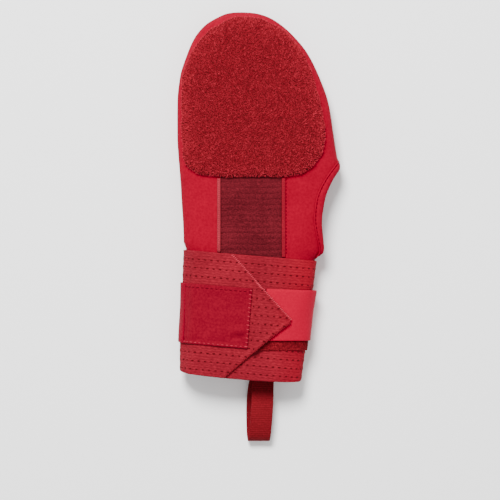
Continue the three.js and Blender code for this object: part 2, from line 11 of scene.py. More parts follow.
import logging
import math
from dataclasses import dataclass
from enum import Enum
from typing import Any, Callable, Iterable, Sequence

import bpy
import numpy as np
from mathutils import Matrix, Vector

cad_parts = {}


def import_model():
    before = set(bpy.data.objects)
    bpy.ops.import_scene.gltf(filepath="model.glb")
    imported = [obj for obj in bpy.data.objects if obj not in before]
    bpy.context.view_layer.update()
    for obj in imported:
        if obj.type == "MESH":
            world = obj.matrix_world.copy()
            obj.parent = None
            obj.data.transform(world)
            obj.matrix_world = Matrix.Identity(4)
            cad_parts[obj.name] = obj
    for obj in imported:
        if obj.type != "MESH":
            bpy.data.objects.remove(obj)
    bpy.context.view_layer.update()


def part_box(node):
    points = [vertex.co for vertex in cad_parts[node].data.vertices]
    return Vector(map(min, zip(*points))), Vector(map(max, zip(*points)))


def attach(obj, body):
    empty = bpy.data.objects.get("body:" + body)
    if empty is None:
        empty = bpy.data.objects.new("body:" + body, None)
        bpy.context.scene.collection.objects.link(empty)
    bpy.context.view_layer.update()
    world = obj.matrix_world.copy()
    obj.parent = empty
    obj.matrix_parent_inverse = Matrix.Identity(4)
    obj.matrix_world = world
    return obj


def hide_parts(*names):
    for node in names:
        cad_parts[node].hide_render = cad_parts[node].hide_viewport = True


LOG = logging.getLogger("mitt")
MM = 0.001
FULL_TURN = 360.0

Curve = Callable[[np.ndarray], np.ndarray]


def smooth_step(value: np.ndarray | float, low: float, high: float) -> np.ndarray:
    """Rises smoothly from 0, at values up to the low one, to 1, at values from the high one."""
    share = np.clip((np.asarray(value, float) - low) / (high - low), 0.0, 1.0)
    return share * share * (3 - 2 * share)


def bell(distance: np.ndarray, reach: float) -> np.ndarray:
    """A soft bump: 1 in the middle, near 0 at twice its reach."""
    return np.exp(-((distance / reach) ** 2))


def smooth_curve(xs: Sequence[float], ys: Sequence[float]) -> Curve:
    """Makes a smooth curve through points that never swings past them.

    Args:
        xs: Rising places of the points.
        ys: Heights of the points.

    Returns:
        A function that reads the curve at an array of places.
    """
    place, height = np.asarray(xs, float), np.asarray(ys, float)
    slopes = np.diff(height) / np.diff(place)
    product = slopes[:-1] * slopes[1:]
    total = slopes[:-1] + slopes[1:]
    middle = np.where(product > 0, 2 * product / np.where(total == 0, 1, total), 0)
    tangents = np.concatenate([[slopes[0]], middle, [slopes[-1]]])

    def read(x: np.ndarray) -> np.ndarray:
        """Reads the curve.

        Args:
            x: Places along the curve.

        Returns:
            The curve's height at each place.
        """
        k = np.clip(np.searchsorted(place, x, side="right") - 1, 0, len(place) - 2)
        width = place[k + 1] - place[k]
        t = np.clip((x - place[k]) / width, 0, 1)
        rise = height[k + 1] - height[k]
        bend = (1 - t) * (tangents[k] * width - rise) - t * (tangents[k + 1] * width - rise)
        return height[k] + rise * t + t * (1 - t) * bend

    return read


def run_along(line: np.ndarray) -> np.ndarray:
    """The length of a line of points up to each one."""
    return np.concatenate([[0], np.cumsum(np.linalg.norm(np.diff(line, axis=0), axis=1))])


@dataclass(frozen=True)
class HandSection:
    """A section across the hand, at a share of the mitt's length from the fingertips."""

    at: float
    little: float
    thumb: float
    depth: float
    lift: float


@dataclass(frozen=True)
class PadMargin:
    """How far in the plush pad's edge lies from the hand's outline, in millimetres."""

    at: float
    little: float
    thumb: float


HAND_SECTIONS = (
    HandSection(0.0, 0.0, 0.0, 0.0, 0.3),
    HandSection(0.0027, 0.072, 0.09, 0.18, 0.22),
    HandSection(0.0135, 0.136, 0.173, 0.4, 0.12),
    HandSection(0.035, 0.216, 0.253, 0.6, 0.04),
    HandSection(0.067, 0.278, 0.333, 0.74, 0.0),
    HandSection(0.116, 0.33, 0.422, 0.84, 0.0),
    HandSection(0.181, 0.376, 0.493, 0.91, 0.0),
    HandSection(0.245, 0.389, 0.542, 0.95, 0.0),
    HandSection(0.342, 0.389, 0.579, 1.0, 0.0),
    HandSection(0.39, 0.382, 0.596, 1.0, 0.0),
    HandSection(0.42, 0.376, 0.613, 1.0, 0.0),
    HandSection(0.512, 0.361, 0.583, 0.97, 0.0),
    HandSection(0.566, 0.352, 0.553, 0.94, 0.0),
    HandSection(0.632, 0.343, 0.521, 0.88, 0.0),
    HandSection(0.653, 0.324, 0.474, 0.86, 0.0),
    HandSection(0.72, 0.316, 0.464, 0.85, 0.0),
    HandSection(1.0, 0.284, 0.437, 0.82, 0.0),
)

PAD_MARGINS = (
    PadMargin(0.0, 4.5, 4.5),
    PadMargin(0.022, 7.0, 3.6),
    PadMargin(0.052, 7.0, 2.9),
    PadMargin(0.085, 5.4, 2.8),
    PadMargin(0.13, 4.0, 3.3),
    PadMargin(0.2, 3.2, 4.6),
    PadMargin(0.3, 3.5, 5.5),
    PadMargin(0.37, 3.8, 4.6),
)


@dataclass
class MittForm:
    """The hand-shaped surface that every cloth of the mitt lies on.

    The sections' sides are shares of the width, and their depths and lifts are shares of the
    depth. The powers say how square a section is, and the back is cut flat at a share of its
    half depth. The hand's line leans over below lean_start, and the back rises there over the
    strips that lie under the cuff.
    """

    length: float = 270.0
    width: float = 118.0
    depth: float = 31.0
    wall: float = 3.0
    clear: float = 0.3
    palm_power: float = 2.6
    back_power: float = 3.4
    back_flat: float = 0.95
    lean: float = math.radians(4.8)
    lean_start: float = 140.0
    rise_start: float = 113.5
    cuff_top: float = 177.0
    cuff_bottom: float = 264.7
    cuff_stack: float = 3.6
    shell_hem: float = 5.0
    loop_right: float = 24.6
    wave: float = 0.28
    ripple: float = 0.22
    strap_bite: float = 0.45
    strap_middle: float = 220.0
    palm_hollow: float = 1.1

    def __post_init__(self) -> None:
        """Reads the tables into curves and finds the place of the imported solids."""
        self.little = self.table_curve(HAND_SECTIONS, "little")
        self.thumb = self.table_curve(HAND_SECTIONS, "thumb")
        self.deep = self.table_curve(HAND_SECTIONS, "depth")
        self.lift = self.table_curve(HAND_SECTIONS, "lift")
        self.lean_radius = (self.cuff_top - self.lean_start) / self.lean
        fingertip, loop_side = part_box("shell")[1][1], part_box("pull_loop")[1][0]
        self.shift = np.array([loop_side / MM - self.loop_right, fingertip / MM, 0.0])

    def table_curve(self, table: Sequence[Any], key: str) -> Curve:
        """Makes a curve of one column of a table, read along the root of the distance."""
        curve = smooth_curve([math.sqrt(row.at) for row in table], [getattr(row, key) for row in table])
        return lambda down: curve(np.sqrt(np.maximum(down, 0) / self.length))

    def section(self, down: np.ndarray) -> tuple[np.ndarray, np.ndarray, np.ndarray, np.ndarray]:
        """Sizes of the hand's sections.

        Args:
            down: Distances from the fingertips.

        Returns:
            The sections' centres to the side of the hand's line, half widths, half heights
            and base heights.
        """
        little, thumb = self.little(down) * self.width, self.thumb(down) * self.width
        rise = self.deep(down) * self.depth / (1 + self.back_flat)
        risen = self.cuff_stack * smooth_step(down, self.rise_start, self.cuff_top)
        base = self.lift(down) * self.depth + risen
        return (thumb - little) / 2, (thumb + little) / 2, rise, base

    def hand_line(self, down: np.ndarray) -> tuple[np.ndarray, np.ndarray, np.ndarray]:
        """Follows the hand's line, which leans over towards the cuff.

        Args:
            down: Distances from the fingertips.

        Returns:
            The line's x, y and angle at each distance.
        """
        angle = np.clip((down - self.lean_start) / self.lean_radius, 0, self.lean)
        beyond = down - self.lean_start - angle * self.lean_radius
        x = self.lean_radius * (np.cos(angle) - 1) - beyond * np.sin(angle)
        y = -self.lean_start - self.lean_radius * np.sin(angle) - beyond * np.cos(angle)
        return x, y, angle

    def unroll(self, x: np.ndarray, y: np.ndarray) -> tuple[np.ndarray, np.ndarray]:
        """Lays points seen from above along the hand's line.

        Args:
            x: Places across the mitt.
            y: Places along it, below 0 towards the cuff.

        Returns:
            The points' distances down the line and to its side.
        """
        angle = np.clip(np.arctan2(-(y + self.lean_start), x + self.lean_radius), 0, self.lean)
        down = self.lean_start + angle * self.lean_radius
        line_x, line_y, _ = self.hand_line(down)
        dx, dy = x - line_x, y - line_y
        return down - dx * np.sin(angle) - dy * np.cos(angle), dx * np.cos(angle) - dy * np.sin(angle)

    def skin(self, around: np.ndarray, down: np.ndarray) -> np.ndarray:
        """Points on the outside of the shell.

        Args:
            around: Angles about the hand.
            down: Distances from the fingertips, of the same shape.

        Returns:
            An array with three more numbers in each place.
        """
        centre, half, rise, base = self.section(down)
        turn = np.radians(90 - around)
        across, up = np.cos(turn), np.sin(turn)
        power = np.where(up > 0, self.palm_power, self.back_power)
        reach = (np.abs(across) ** power + np.abs(up) ** power) ** (-1 / power)
        side = centre + half * reach * across
        z = base + rise * (self.back_flat + np.maximum(reach * up, -self.back_flat))
        x, y, angle = self.hand_line(down)
        return np.stack([x + side * np.cos(angle), y - side * np.sin(angle), z], axis=-1)

    def normal(self, around: np.ndarray, down: np.ndarray) -> np.ndarray:
        """Directions straight out of the shell.

        Args:
            around: Angles about the hand.
            down: Distances from the fingertips, of the same shape.

        Returns:
            An array with a unit direction in each place.
        """
        nudge = np.minimum(0.4, down * 0.3)
        across = self.skin(around + 0.5, down) - self.skin(around - 0.5, down)
        along = self.skin(around, down + nudge) - self.skin(around, down - nudge)
        out = np.cross(along, across)
        return out / np.maximum(np.linalg.norm(out, axis=-1, keepdims=True), 1e-9)

    def relief(self, around: np.ndarray, down: np.ndarray) -> np.ndarray:
        """How far the cloth wanders off its plain form: soft waves, and the strap's bite.

        Args:
            around: Angles about the hand.
            down: Distances from the fingertips.

        Returns:
            Heights in millimetres, 0 wherever the mitt lies on its back.
        """
        turn = np.radians(around)
        upper = smooth_step(np.cos(turn), -0.35, 0.25)
        away_from_tip = smooth_step(down, 4, 40)
        waves = self.wave * np.sin(down / 13 + 2.1 * np.sin(turn)) * np.cos(3 * turn + down / 31)
        waves += self.ripple * np.sin(down / 7.5 - 4 * turn + 0.6) * smooth_step(down, 90, 130)
        bite = -self.strap_bite * bell(down - self.strap_middle, 24) * smooth_step(down, 176, 190)
        hollow = -self.palm_hollow * bell(down - 150, 24) * bell(np.sin(turn / 2), 0.33)
        return upper * away_from_tip * (waves + bite + hollow)

    def raised(self, around: np.ndarray, down: np.ndarray, lift: np.ndarray | float) -> np.ndarray:
        """Points raised off the shell along its normals, with its relief.

        Args:
            around: Angles about the hand.
            down: Distances from the fingertips.
            lift: Heights over the shell, below 0 into the hand.

        Returns:
            An array with a point in each place.
        """
        around, down = np.broadcast_arrays(np.asarray(around, float), np.asarray(down, float))
        height = np.asarray(lift, float) + self.relief(around, down)
        return self.skin(around, down) + self.normal(around, down) * height[..., None]

    def palm_around(self, side: np.ndarray, down: np.ndarray) -> np.ndarray:
        """The angles about the hand of places on the palm.

        Args:
            side: How far each place is to the side of the hand's line.
            down: Distances from the fingertips.

        Returns:
            The angle of each place.
        """
        centre, half, _, _ = self.section(down)
        share = np.clip((side - centre) / half, -0.999, 0.999)
        size = np.maximum(np.abs(share), 1e-6)
        slope = (size**-self.palm_power - 1) ** (1 / self.palm_power)
        return np.sign(share) * (90 - np.degrees(np.arctan(slope)))

    def over_palm(self, x: np.ndarray, y: np.ndarray, lift: np.ndarray | float) -> np.ndarray:
        """Points over the palm at the places x, y seen from above."""
        down, side = self.unroll(x, y)
        return self.raised(self.palm_around(side, down), down, lift)

    def palm_normal(self, x: np.ndarray, y: np.ndarray) -> np.ndarray:
        """Directions straight out of the palm at the places x, y seen from above."""
        down, side = self.unroll(x, y)
        return self.normal(self.palm_around(side, down), down)

    def cuff_edge(self, x: np.ndarray) -> np.ndarray:
        """How far below the fingertips the cuff's leaning top edge is, at each x."""
        line_x, line_y, angle = self.hand_line(np.float64(self.cuff_top))
        return (x - line_x) * np.tan(angle) - line_y


# Meshes


def quads(rows: int, columns: int, wrap_rows: bool = False, wrap_columns: bool = False) -> np.ndarray:
    """Four-cornered faces over a net of points numbered row by row.

    Args:
        rows: Rows of points.
        columns: Points in a row.
        wrap_rows: Whether the last row joins the first.
        wrap_columns: Whether the last point of a row joins its first.

    Returns:
        An array of faces with four point numbers each.
    """
    r = np.arange(rows if wrap_rows else rows - 1)
    c = np.arange(columns if wrap_columns else columns - 1)
    row, column = (part.ravel() for part in np.meshgrid(r, c, indexing="ij"))
    next_row, next_column = (row + 1) % rows, (column + 1) % columns
    corners = [row * columns + column, row * columns + next_column]
    corners += [next_row * columns + next_column, next_row * columns + column]
    return np.stack(corners, axis=1)


class Workshop:
    """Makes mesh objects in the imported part's frame."""

    def __init__(self, form: MittForm) -> None:
        """Keeps the form that the meshes lie on."""
        self.form = form

    def placed(self, points: np.ndarray) -> np.ndarray:
        """Millimetres on the form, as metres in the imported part's frame."""
        return (points.reshape(-1, 3) + self.form.shift) * MM

    def mesh(
        self,
        name: str,
        points: np.ndarray,
        faces: Iterable[Sequence[int]],
        chart: np.ndarray | None = None,
    ) -> bpy.types.Object:
        """Makes a smooth closed mesh with its faces outwards.

        Args:
            name: The piece's name.
            points: Its points, in millimetres on the form.
            faces: Its faces, as point numbers.
            chart: For each point, its place on the flat cloth in millimetres.

        Returns:
            The mesh's object.
        """
        data = bpy.data.meshes.new(name)
        data.from_pydata(self.placed(points).tolist(), [], [list(map(int, face)) for face in faces])
        data.validate()
        if self.volume(data) < 0:
            data.flip_normals()
        if chart is not None:
            layer = data.uv_layers.new(name="cloth")
            corner_points = np.empty(len(data.loops), dtype=np.int32)
            data.loops.foreach_get("vertex_index", corner_points)
            layer.data.foreach_set("uv", (chart.reshape(-1, 2)[corner_points] * MM).ravel())
        data.shade_smooth()
        made = bpy.data.objects.new(name, data)
        bpy.context.scene.collection.objects.link(made)
        return made

    @staticmethod
    def volume(data: bpy.types.Mesh) -> float:
        """Measures which way a closed mesh's faces point.

        Args:
            data: The mesh.

        Returns:
            A signed measure of its volume, below 0 when its faces point inwards.
        """
        data.calc_loop_triangles()
        points = np.empty(len(data.vertices) * 3)
        data.vertices.foreach_get("co", points)
        corners = np.empty(len(data.loop_triangles) * 3, dtype=np.int32)
        data.loop_triangles.foreach_get("vertices", corners)
        a, b, c = points.reshape(-1, 3)[corners].reshape(-1, 3, 3).transpose(1, 0, 2)
        return float(np.einsum("ij,ij->i", a, np.cross(b, c)).sum())

    def slab(self, name: str, upper: np.ndarray, lower: np.ndarray, chart: np.ndarray) -> bpy.types.Object:
        """Makes a closed cloth between an upper and a lower net of points.

        Args:
            name: The piece's name.
            upper: Rows of points on the outer face.
            lower: As many rows of as many points on the inner face.
            chart: The place on the flat cloth of each point of a net, in millimetres.

        Returns:
            The cloth's object.
        """
        rows, columns = upper.shape[:2]
        count = rows * columns
        net = quads(rows, columns)
        left = np.arange(rows) * columns
        rim = np.concatenate([
            np.arange(columns),
            left[1:] + columns - 1,
            count - 2 - np.arange(columns - 1),
            left[-2:0:-1],
        ])
        after = np.roll(rim, -1)
        wall = np.stack([rim, rim + count, after + count, after], axis=1)
        points = np.concatenate([upper.reshape(-1, 3), lower.reshape(-1, 3)])
        faces = np.concatenate([net, net[:, ::-1] + count, wall])
        return self.mesh(name, points, faces, np.concatenate([chart.reshape(-1, 2)] * 2))

    def paths(self, name: str, lines: Sequence[tuple[np.ndarray, np.ndarray]]) -> bpy.types.Object:
        """Makes a mesh of open lines that carry the direction out of the cloth.

        Args:
            name: The name of the object that the lines go into.
            lines: For each line, its points and the outward direction at each point.

        Returns:
            The object, which a stitch tree turns into thread.
        """
        points = np.concatenate([line for line, _ in lines])
        outs = np.concatenate([out for _, out in lines])
        starts = np.cumsum([0] + [len(line) for line, _ in lines])
        edges = [(i, i + 1) for a, b in zip(starts[:-1], starts[1:]) for i in range(a, b - 1)]
        data = bpy.data.meshes.new(name)
        data.from_pydata(self.placed(points).tolist(), edges, [])
        attribute = data.attributes.new("out", "FLOAT_VECTOR", "POINT")
        attribute.data.foreach_set("vector", outs.astype(np.float32).ravel())
        made = bpy.data.objects.new(name, data)
        bpy.context.scene.collection.objects.link(made)
        return made


def rounded_edge(place: np.ndarray, length: float, radius: float) -> np.ndarray:
    """How far a cloth's face drops at each place across its length, for round edges."""
    inside = np.clip(np.minimum(place, length - place), 0, radius)
    return radius - np.sqrt(radius**2 - (radius - inside) ** 2)


# Shader and geometry nodes


def add_node(
    tree: bpy.types.NodeTree, kind: str, links: dict[int | str, Any] | None = None, **settings: Any
) -> Any:
    """Adds a node with its settings, and sets or links its inputs.

    Args:
        tree: The tree that the node goes into.
        kind: The node's type.
        links: For an input's name or number, the socket that feeds it or its value.
        **settings: The node's own properties.

    Returns:
        The new node.
    """
    node = tree.nodes.new(kind)
    for key, value in settings.items():
        setattr(node, key, value)
    for key, value in (links or {}).items():
        if isinstance(value, bpy.types.NodeSocket):
            tree.links.new(value, node.inputs[key])
        else:
            node.inputs[key].default_value = value
    return node


def linear(colour: str) -> tuple[float, float, float, float]:
    """Turns an sRGB hex colour to the linear one that Blender's nodes take.

    Args:
        colour: Six hex digits after a hash.

    Returns:
        Red, green, blue and an alpha of 1.
    """
    shares = [int(colour[i : i + 2], 16) / 255 for i in (1, 3, 5)]
    parts = [s / 12.92 if s <= 0.04045 else ((s + 0.055) / 1.055) ** 2.4 for s in shares]
    return parts[0], parts[1], parts[2], 1.0


# A cloth's mottling mixes its grain with this share of slow clouds. It runs from its darkest
# value, where the dark colour shows, over the middle colour to the lightest.
CLOUD_SHARE = 0.35
MOTTLE_DARK = 0.46
MOTTLE_MIDDLE = 0.68
MOTTLE_LIGHT = 0.92


class Chart(Enum):
    """What a cloth's pattern follows."""

    CLOTH = "cloth"
    SPACE = "space"


@dataclass(frozen=True)
class Fade:
    """A cloth's slow change of colour across the mitt, between two places along X in millimetres."""

    colour: str
    start: float
    end: float


@dataclass(frozen=True)
class Finish:
    """A cloth finish. Its colours are sRGB hex values and its sizes are in millimetres.

    The middle colour turns darker and lighter with the grain and with slow clouds. The grain
    is grain_stretch times longer along the cloth than across it. The sheen is the fuzz that
    catches light from the side. A rib of 0 means no ribs, and rib_across means that the ribs
    follow each other along X, not along Y. Between the ribs, rib_shade darkens the colour
    towards the dark one as painted shade.
    """

    name: str
    colour: str
    dark: str
    light: str
    roughness: float = 0.85
    sheen: float = 0.03
    sheen_tint: str = "#f03848"
    grain: float = 1.0
    grain_stretch: float = 1.0
    grain_bump: float = 0.12
    cloud: float = 25.0
    rib: float = 0.0
    rib_bump: float = 0.0
    rib_shade: float = 0.0
    rib_across: bool = False
    chart: Chart = Chart.SPACE
    fade: Fade | None = None

    def build(self) -> bpy.types.Material:
        """Makes the material.

        Returns:
            A material whose grain, clouds and ribs are sized in millimetres.
        """
        material = bpy.data.materials.new(self.name)
        material.use_nodes = True
        tree = material.node_tree
        tree.nodes.clear()
        place = self.place(tree)
        grain = add_node(
            tree,
            "ShaderNodeTexNoise",
            {
                "Vector": self.stretched(tree, place),
                "Scale": 1 / (self.grain * MM),
                "Detail": 3.0,
                "Roughness": 0.6,
            },
        ).outputs["Fac"]
        cloud = add_node(
            tree,
            "ShaderNodeTexNoise",
            {"Vector": place, "Scale": 1 / (self.cloud * MM), "Detail": 2.0},
        ).outputs["Fac"]
        mottle = add_node(
            tree, "ShaderNodeMath", {0: cloud, 1: CLOUD_SHARE, 2: grain}, operation="MULTIPLY_ADD"
        ).outputs["Value"]
        ramp = add_node(tree, "ShaderNodeValToRGB", {"Fac": mottle})
        stops = ramp.color_ramp.elements
        stops[0].position, stops[0].color = MOTTLE_DARK, linear(self.dark)
        stops[1].position, stops[1].color = MOTTLE_LIGHT, linear(self.light)
        middle = stops.new(MOTTLE_MIDDLE)
        middle.color = linear(self.colour)
        colour, height = ramp.outputs["Color"], grain
        if self.fade:
            colour = self.faded(tree, colour, mottle)
        if self.rib:
            colour, height = self.ribbed(tree, place, colour, grain)
        bump = add_node(
            tree, "ShaderNodeBump", {"Height": height, "Distance": self.grain_bump * MM, "Strength": 1.0}
        )
        shader = add_node(
            tree,
            "ShaderNodeBsdfPrincipled",
            {
                "Base Color": colour,
                "Roughness": self.roughness,
                "Specular IOR Level": 0.15,
                "Specular Tint": linear(self.sheen_tint),
                "Sheen Weight": self.sheen,
                "Sheen Roughness": 0.5,
                "Sheen Tint": linear(self.sheen_tint),
                "Normal": bump.outputs["Normal"],
            },
        )
        add_node(tree, "ShaderNodeOutputMaterial", {"Surface": shader.outputs["BSDF"]})
        return material

    def faded(
        self, tree: bpy.types.NodeTree, colour: bpy.types.NodeSocket, mottle: bpy.types.NodeSocket
    ) -> bpy.types.NodeSocket:
        """Mixes a colour towards another one across the mitt.

        Args:
            tree: The material's tree.
            colour: The colour at the start.
            mottle: The mottling, which the other colour shares.

        Returns:
            The mixed colour.
        """
        space = add_node(tree, "ShaderNodeTexCoord").outputs["Object"]
        across = add_node(tree, "ShaderNodeSeparateXYZ", {"Vector": space}).outputs["X"]
        ends = {"Value": across, "From Min": self.fade.start * MM, "From Max": self.fade.end * MM}
        share = add_node(tree, "ShaderNodeMapRange", ends, interpolation_type="SMOOTHSTEP")
        mottling = {"Value": mottle, "From Min": MOTTLE_DARK, "From Max": MOTTLE_LIGHT}
        shade = add_node(tree, "ShaderNodeMapRange", {**mottling, "To Min": 0.75, "To Max": 1.3})
        other = add_node(
            tree,
            "ShaderNodeVectorMath",
            {0: linear(self.fade.colour)[:3], "Scale": shade.outputs["Result"]},
            operation="SCALE",
        )
        mixed = add_node(
            tree,
            "ShaderNodeMix",
            {"Factor": share.outputs["Result"], 6: colour, 7: other.outputs["Vector"]},
            data_type="RGBA",
        )
        return mixed.outputs[2]

    def place(self, tree: bpy.types.NodeTree) -> bpy.types.NodeSocket:
        """Reads the coordinates that the pattern follows.

        Args:
            tree: The material's tree.

        Returns:
            The coordinates, in metres.
        """
        if self.chart is Chart.CLOTH:
            return add_node(tree, "ShaderNodeUVMap", uv_map="cloth").outputs["UV"]
        return add_node(tree, "ShaderNodeTexCoord").outputs["Object"]

    def stretched(self, tree: bpy.types.NodeTree, place: bpy.types.NodeSocket) -> bpy.types.NodeSocket:
        """The coordinates with the grain drawn out along the cloth."""
        scale = (1 / self.grain_stretch, 1.0, 1.0)
        return add_node(tree, "ShaderNodeMapping", {"Vector": place, "Scale": scale}).outputs["Vector"]

    def ribbed(
        self,
        tree: bpy.types.NodeTree,
        place: bpy.types.NodeSocket,
        colour: bpy.types.NodeSocket,
        grain: bpy.types.NodeSocket,
    ) -> tuple[bpy.types.NodeSocket, bpy.types.NodeSocket]:
        """Adds knit ribs to a height, and painted shade between them to a colour.

        Args:
            tree: The material's tree.
            place: The coordinates on the cloth.
            colour: The colour that the painted shade darkens between the ribs.
            grain: The grain's height.

        Returns:
            The colour with its painted shade, and the height with the ribs in it.
        """
        axes = add_node(tree, "ShaderNodeSeparateXYZ", {"Vector": place})
        along = axes.outputs["X" if self.rib_across else "Y"]
        turns = add_node(
            tree, "ShaderNodeMath", {0: along, 1: math.tau / (self.rib * MM)}, operation="MULTIPLY"
        ).outputs["Value"]
        wave = add_node(tree, "ShaderNodeMath", {0: turns}, operation="COSINE").outputs["Value"]
        ridge = add_node(
            tree, "ShaderNodeMapRange", {"Value": wave, "From Min": -1.0, "From Max": 0.4}
        ).outputs["Result"]
        # Painted shade: between the ribs the colour darkens towards the dark one, by rib_shade.
        shade = add_node(
            tree,
            "ShaderNodeMapRange",
            {"Value": ridge, "To Min": self.rib_shade, "To Max": 0.0},
        ).outputs["Result"]
        mixed = add_node(
            tree,
            "ShaderNodeMix",
            {"Factor": shade, 6: colour, 7: linear(self.dark)},
            data_type="RGBA",
        ).outputs[2]
        ribs = self.rib_bump / self.grain_bump
        height = add_node(tree, "ShaderNodeMath", {0: ridge, 1: ribs, 2: grain}, operation="MULTIPLY_ADD")
        return mixed, height.outputs["Value"]


def run_nodes(piece: bpy.types.Object, tree: bpy.types.NodeTree, **values: Any) -> bpy.types.Object:
    """Runs a geometry tree on a piece and keeps the result as its plain mesh.

    Args:
        piece: The mesh object that the tree starts from.
        tree: The geometry tree.
        **values: The tree's inputs by name, with an underscore for each space.

    Returns:
        The same object, with the tree's result as its mesh.
    """
    modifier = piece.modifiers.new(tree.name, "NODES")
    modifier.node_group = tree
    for item in tree.interface.items_tree:
        key = item.name.replace(" ", "_").lower()
        if item.in_out == "INPUT" and key in values:
            modifier[item.identifier] = values[key]
    return settled(piece)


def settled(piece: bpy.types.Object) -> bpy.types.Object:
    """Turns a piece's modifiers into its plain mesh.

    Args:
        piece: The piece.

    Returns:
        The same piece.
    """
    graph = bpy.context.evaluated_depsgraph_get()
    result = bpy.data.meshes.new_from_object(piece.evaluated_get(graph), depsgraph=graph)
    piece.modifiers.clear()
    piece.data = result
    return piece


def cut(piece: bpy.types.Object, cutter: bpy.types.Object) -> None:
    """Cuts one closed mesh out of another and removes the cutter.

    Args:
        piece: The mesh that is cut.
        cutter: The mesh that is taken away from it.
    """
    modifier = piece.modifiers.new("cut", "BOOLEAN")
    modifier.operation, modifier.solver, modifier.object = "DIFFERENCE", "EXACT", cutter
    settled(piece)
    bpy.data.objects.remove(cutter)


def new_tree(name: str, inputs: Sequence[tuple[str, str]]) -> bpy.types.NodeTree:
    """Makes an empty geometry tree.

    Args:
        name: The tree's name.
        inputs: The name and the socket type of each input after the geometry.

    Returns:
        The tree, with a geometry input and output.
    """
    tree = bpy.data.node_groups.new(name, "GeometryNodeTree")
    tree.interface.new_socket("Geometry", in_out="INPUT", socket_type="NodeSocketGeometry")
    for label, kind in inputs:
        tree.interface.new_socket(label, in_out="INPUT", socket_type=f"NodeSocket{kind}")
    tree.interface.new_socket("Geometry", in_out="OUTPUT", socket_type="NodeSocketGeometry")
    return tree


def stitch_tree() -> bpy.types.NodeTree:
    """Makes the tree that sets thread stitches along lines.

    Returns:
        A tree for a mesh of lines that carry their outward direction in "out".
    """
    names = ("Pitch", "Length", "Width", "Height", "Turn", "Wander")
    inputs = [(name, "Float") for name in names] + [("Seed", "Int"), ("Thread", "Material")]
    tree = new_tree("Stitches", inputs)
    given = add_node(tree, "NodeGroupInput").outputs
    curve = add_node(tree, "GeometryNodeMeshToCurve", {"Mesh": given["Geometry"]}).outputs["Curve"]
    spaced = add_node(
        tree, "GeometryNodeResampleCurve", {"Curve": curve, "Length": given["Pitch"]}, mode="LENGTH"
    ).outputs["Curve"]
    out = add_node(
        tree, "GeometryNodeInputNamedAttribute", {"Name": "out"}, data_type="FLOAT_VECTOR"
    ).outputs["Attribute"]
    tangent = add_node(tree, "GeometryNodeInputTangent").outputs["Tangent"]
    along = add_node(
        tree,
        "FunctionNodeAxesToRotation",
        {"Primary Axis": out, "Secondary Axis": tangent},
        primary_axis="Z",
        secondary_axis="X",
    ).outputs["Rotation"]
    less = add_node(tree, "ShaderNodeMath", {0: given["Wander"], 1: -1.0}, operation="MULTIPLY")
    wander = add_node(
        tree,
        "FunctionNodeRandomValue",
        {2: less.outputs["Value"], 3: given["Wander"], "Seed": given["Seed"]},
        data_type="FLOAT",
    ).outputs[1]
    angle = add_node(tree, "ShaderNodeMath", {0: given["Turn"], 1: wander}, operation="ADD").outputs["Value"]
    turn = add_node(tree, "ShaderNodeCombineXYZ", {"Z": angle}).outputs["Vector"]
    turned = add_node(
        tree, "FunctionNodeRotateRotation", {"Rotation": along, "Rotate By": turn}, rotation_space="LOCAL"
    ).outputs["Rotation"]
    size = add_node(
        tree,
        "ShaderNodeCombineXYZ",
        {"X": given["Length"], "Y": given["Width"], "Z": given["Height"]},
    ).outputs["Vector"]
    change = add_node(
        tree, "FunctionNodeRandomValue", {2: 0.86, 3: 1.1, "Seed": given["Seed"]}, data_type="FLOAT"
    ).outputs[1]
    varied = add_node(
        tree, "ShaderNodeVectorMath", {0: size, "Scale": change}, operation="SCALE"
    ).outputs["Vector"]
    stitch = add_node(
        tree, "GeometryNodeMeshUVSphere", {"Segments": 6, "Rings": 4, "Radius": 0.5}
    ).outputs["Mesh"]
    set_out = add_node(
        tree,
        "GeometryNodeInstanceOnPoints",
        {"Points": spaced, "Instance": stitch, "Rotation": turned, "Scale": varied},
    ).outputs["Instances"]
    real = add_node(tree, "GeometryNodeRealizeInstances", {"Geometry": set_out}).outputs["Geometry"]
    smooth = add_node(tree, "GeometryNodeSetShadeSmooth", {"Geometry": real}).outputs["Geometry"]
    dyed = add_node(tree, "GeometryNodeSetMaterial", {"Geometry": smooth, "Material": given["Thread"]})
    add_node(tree, "NodeGroupOutput", {0: dyed.outputs["Geometry"]})
    return tree


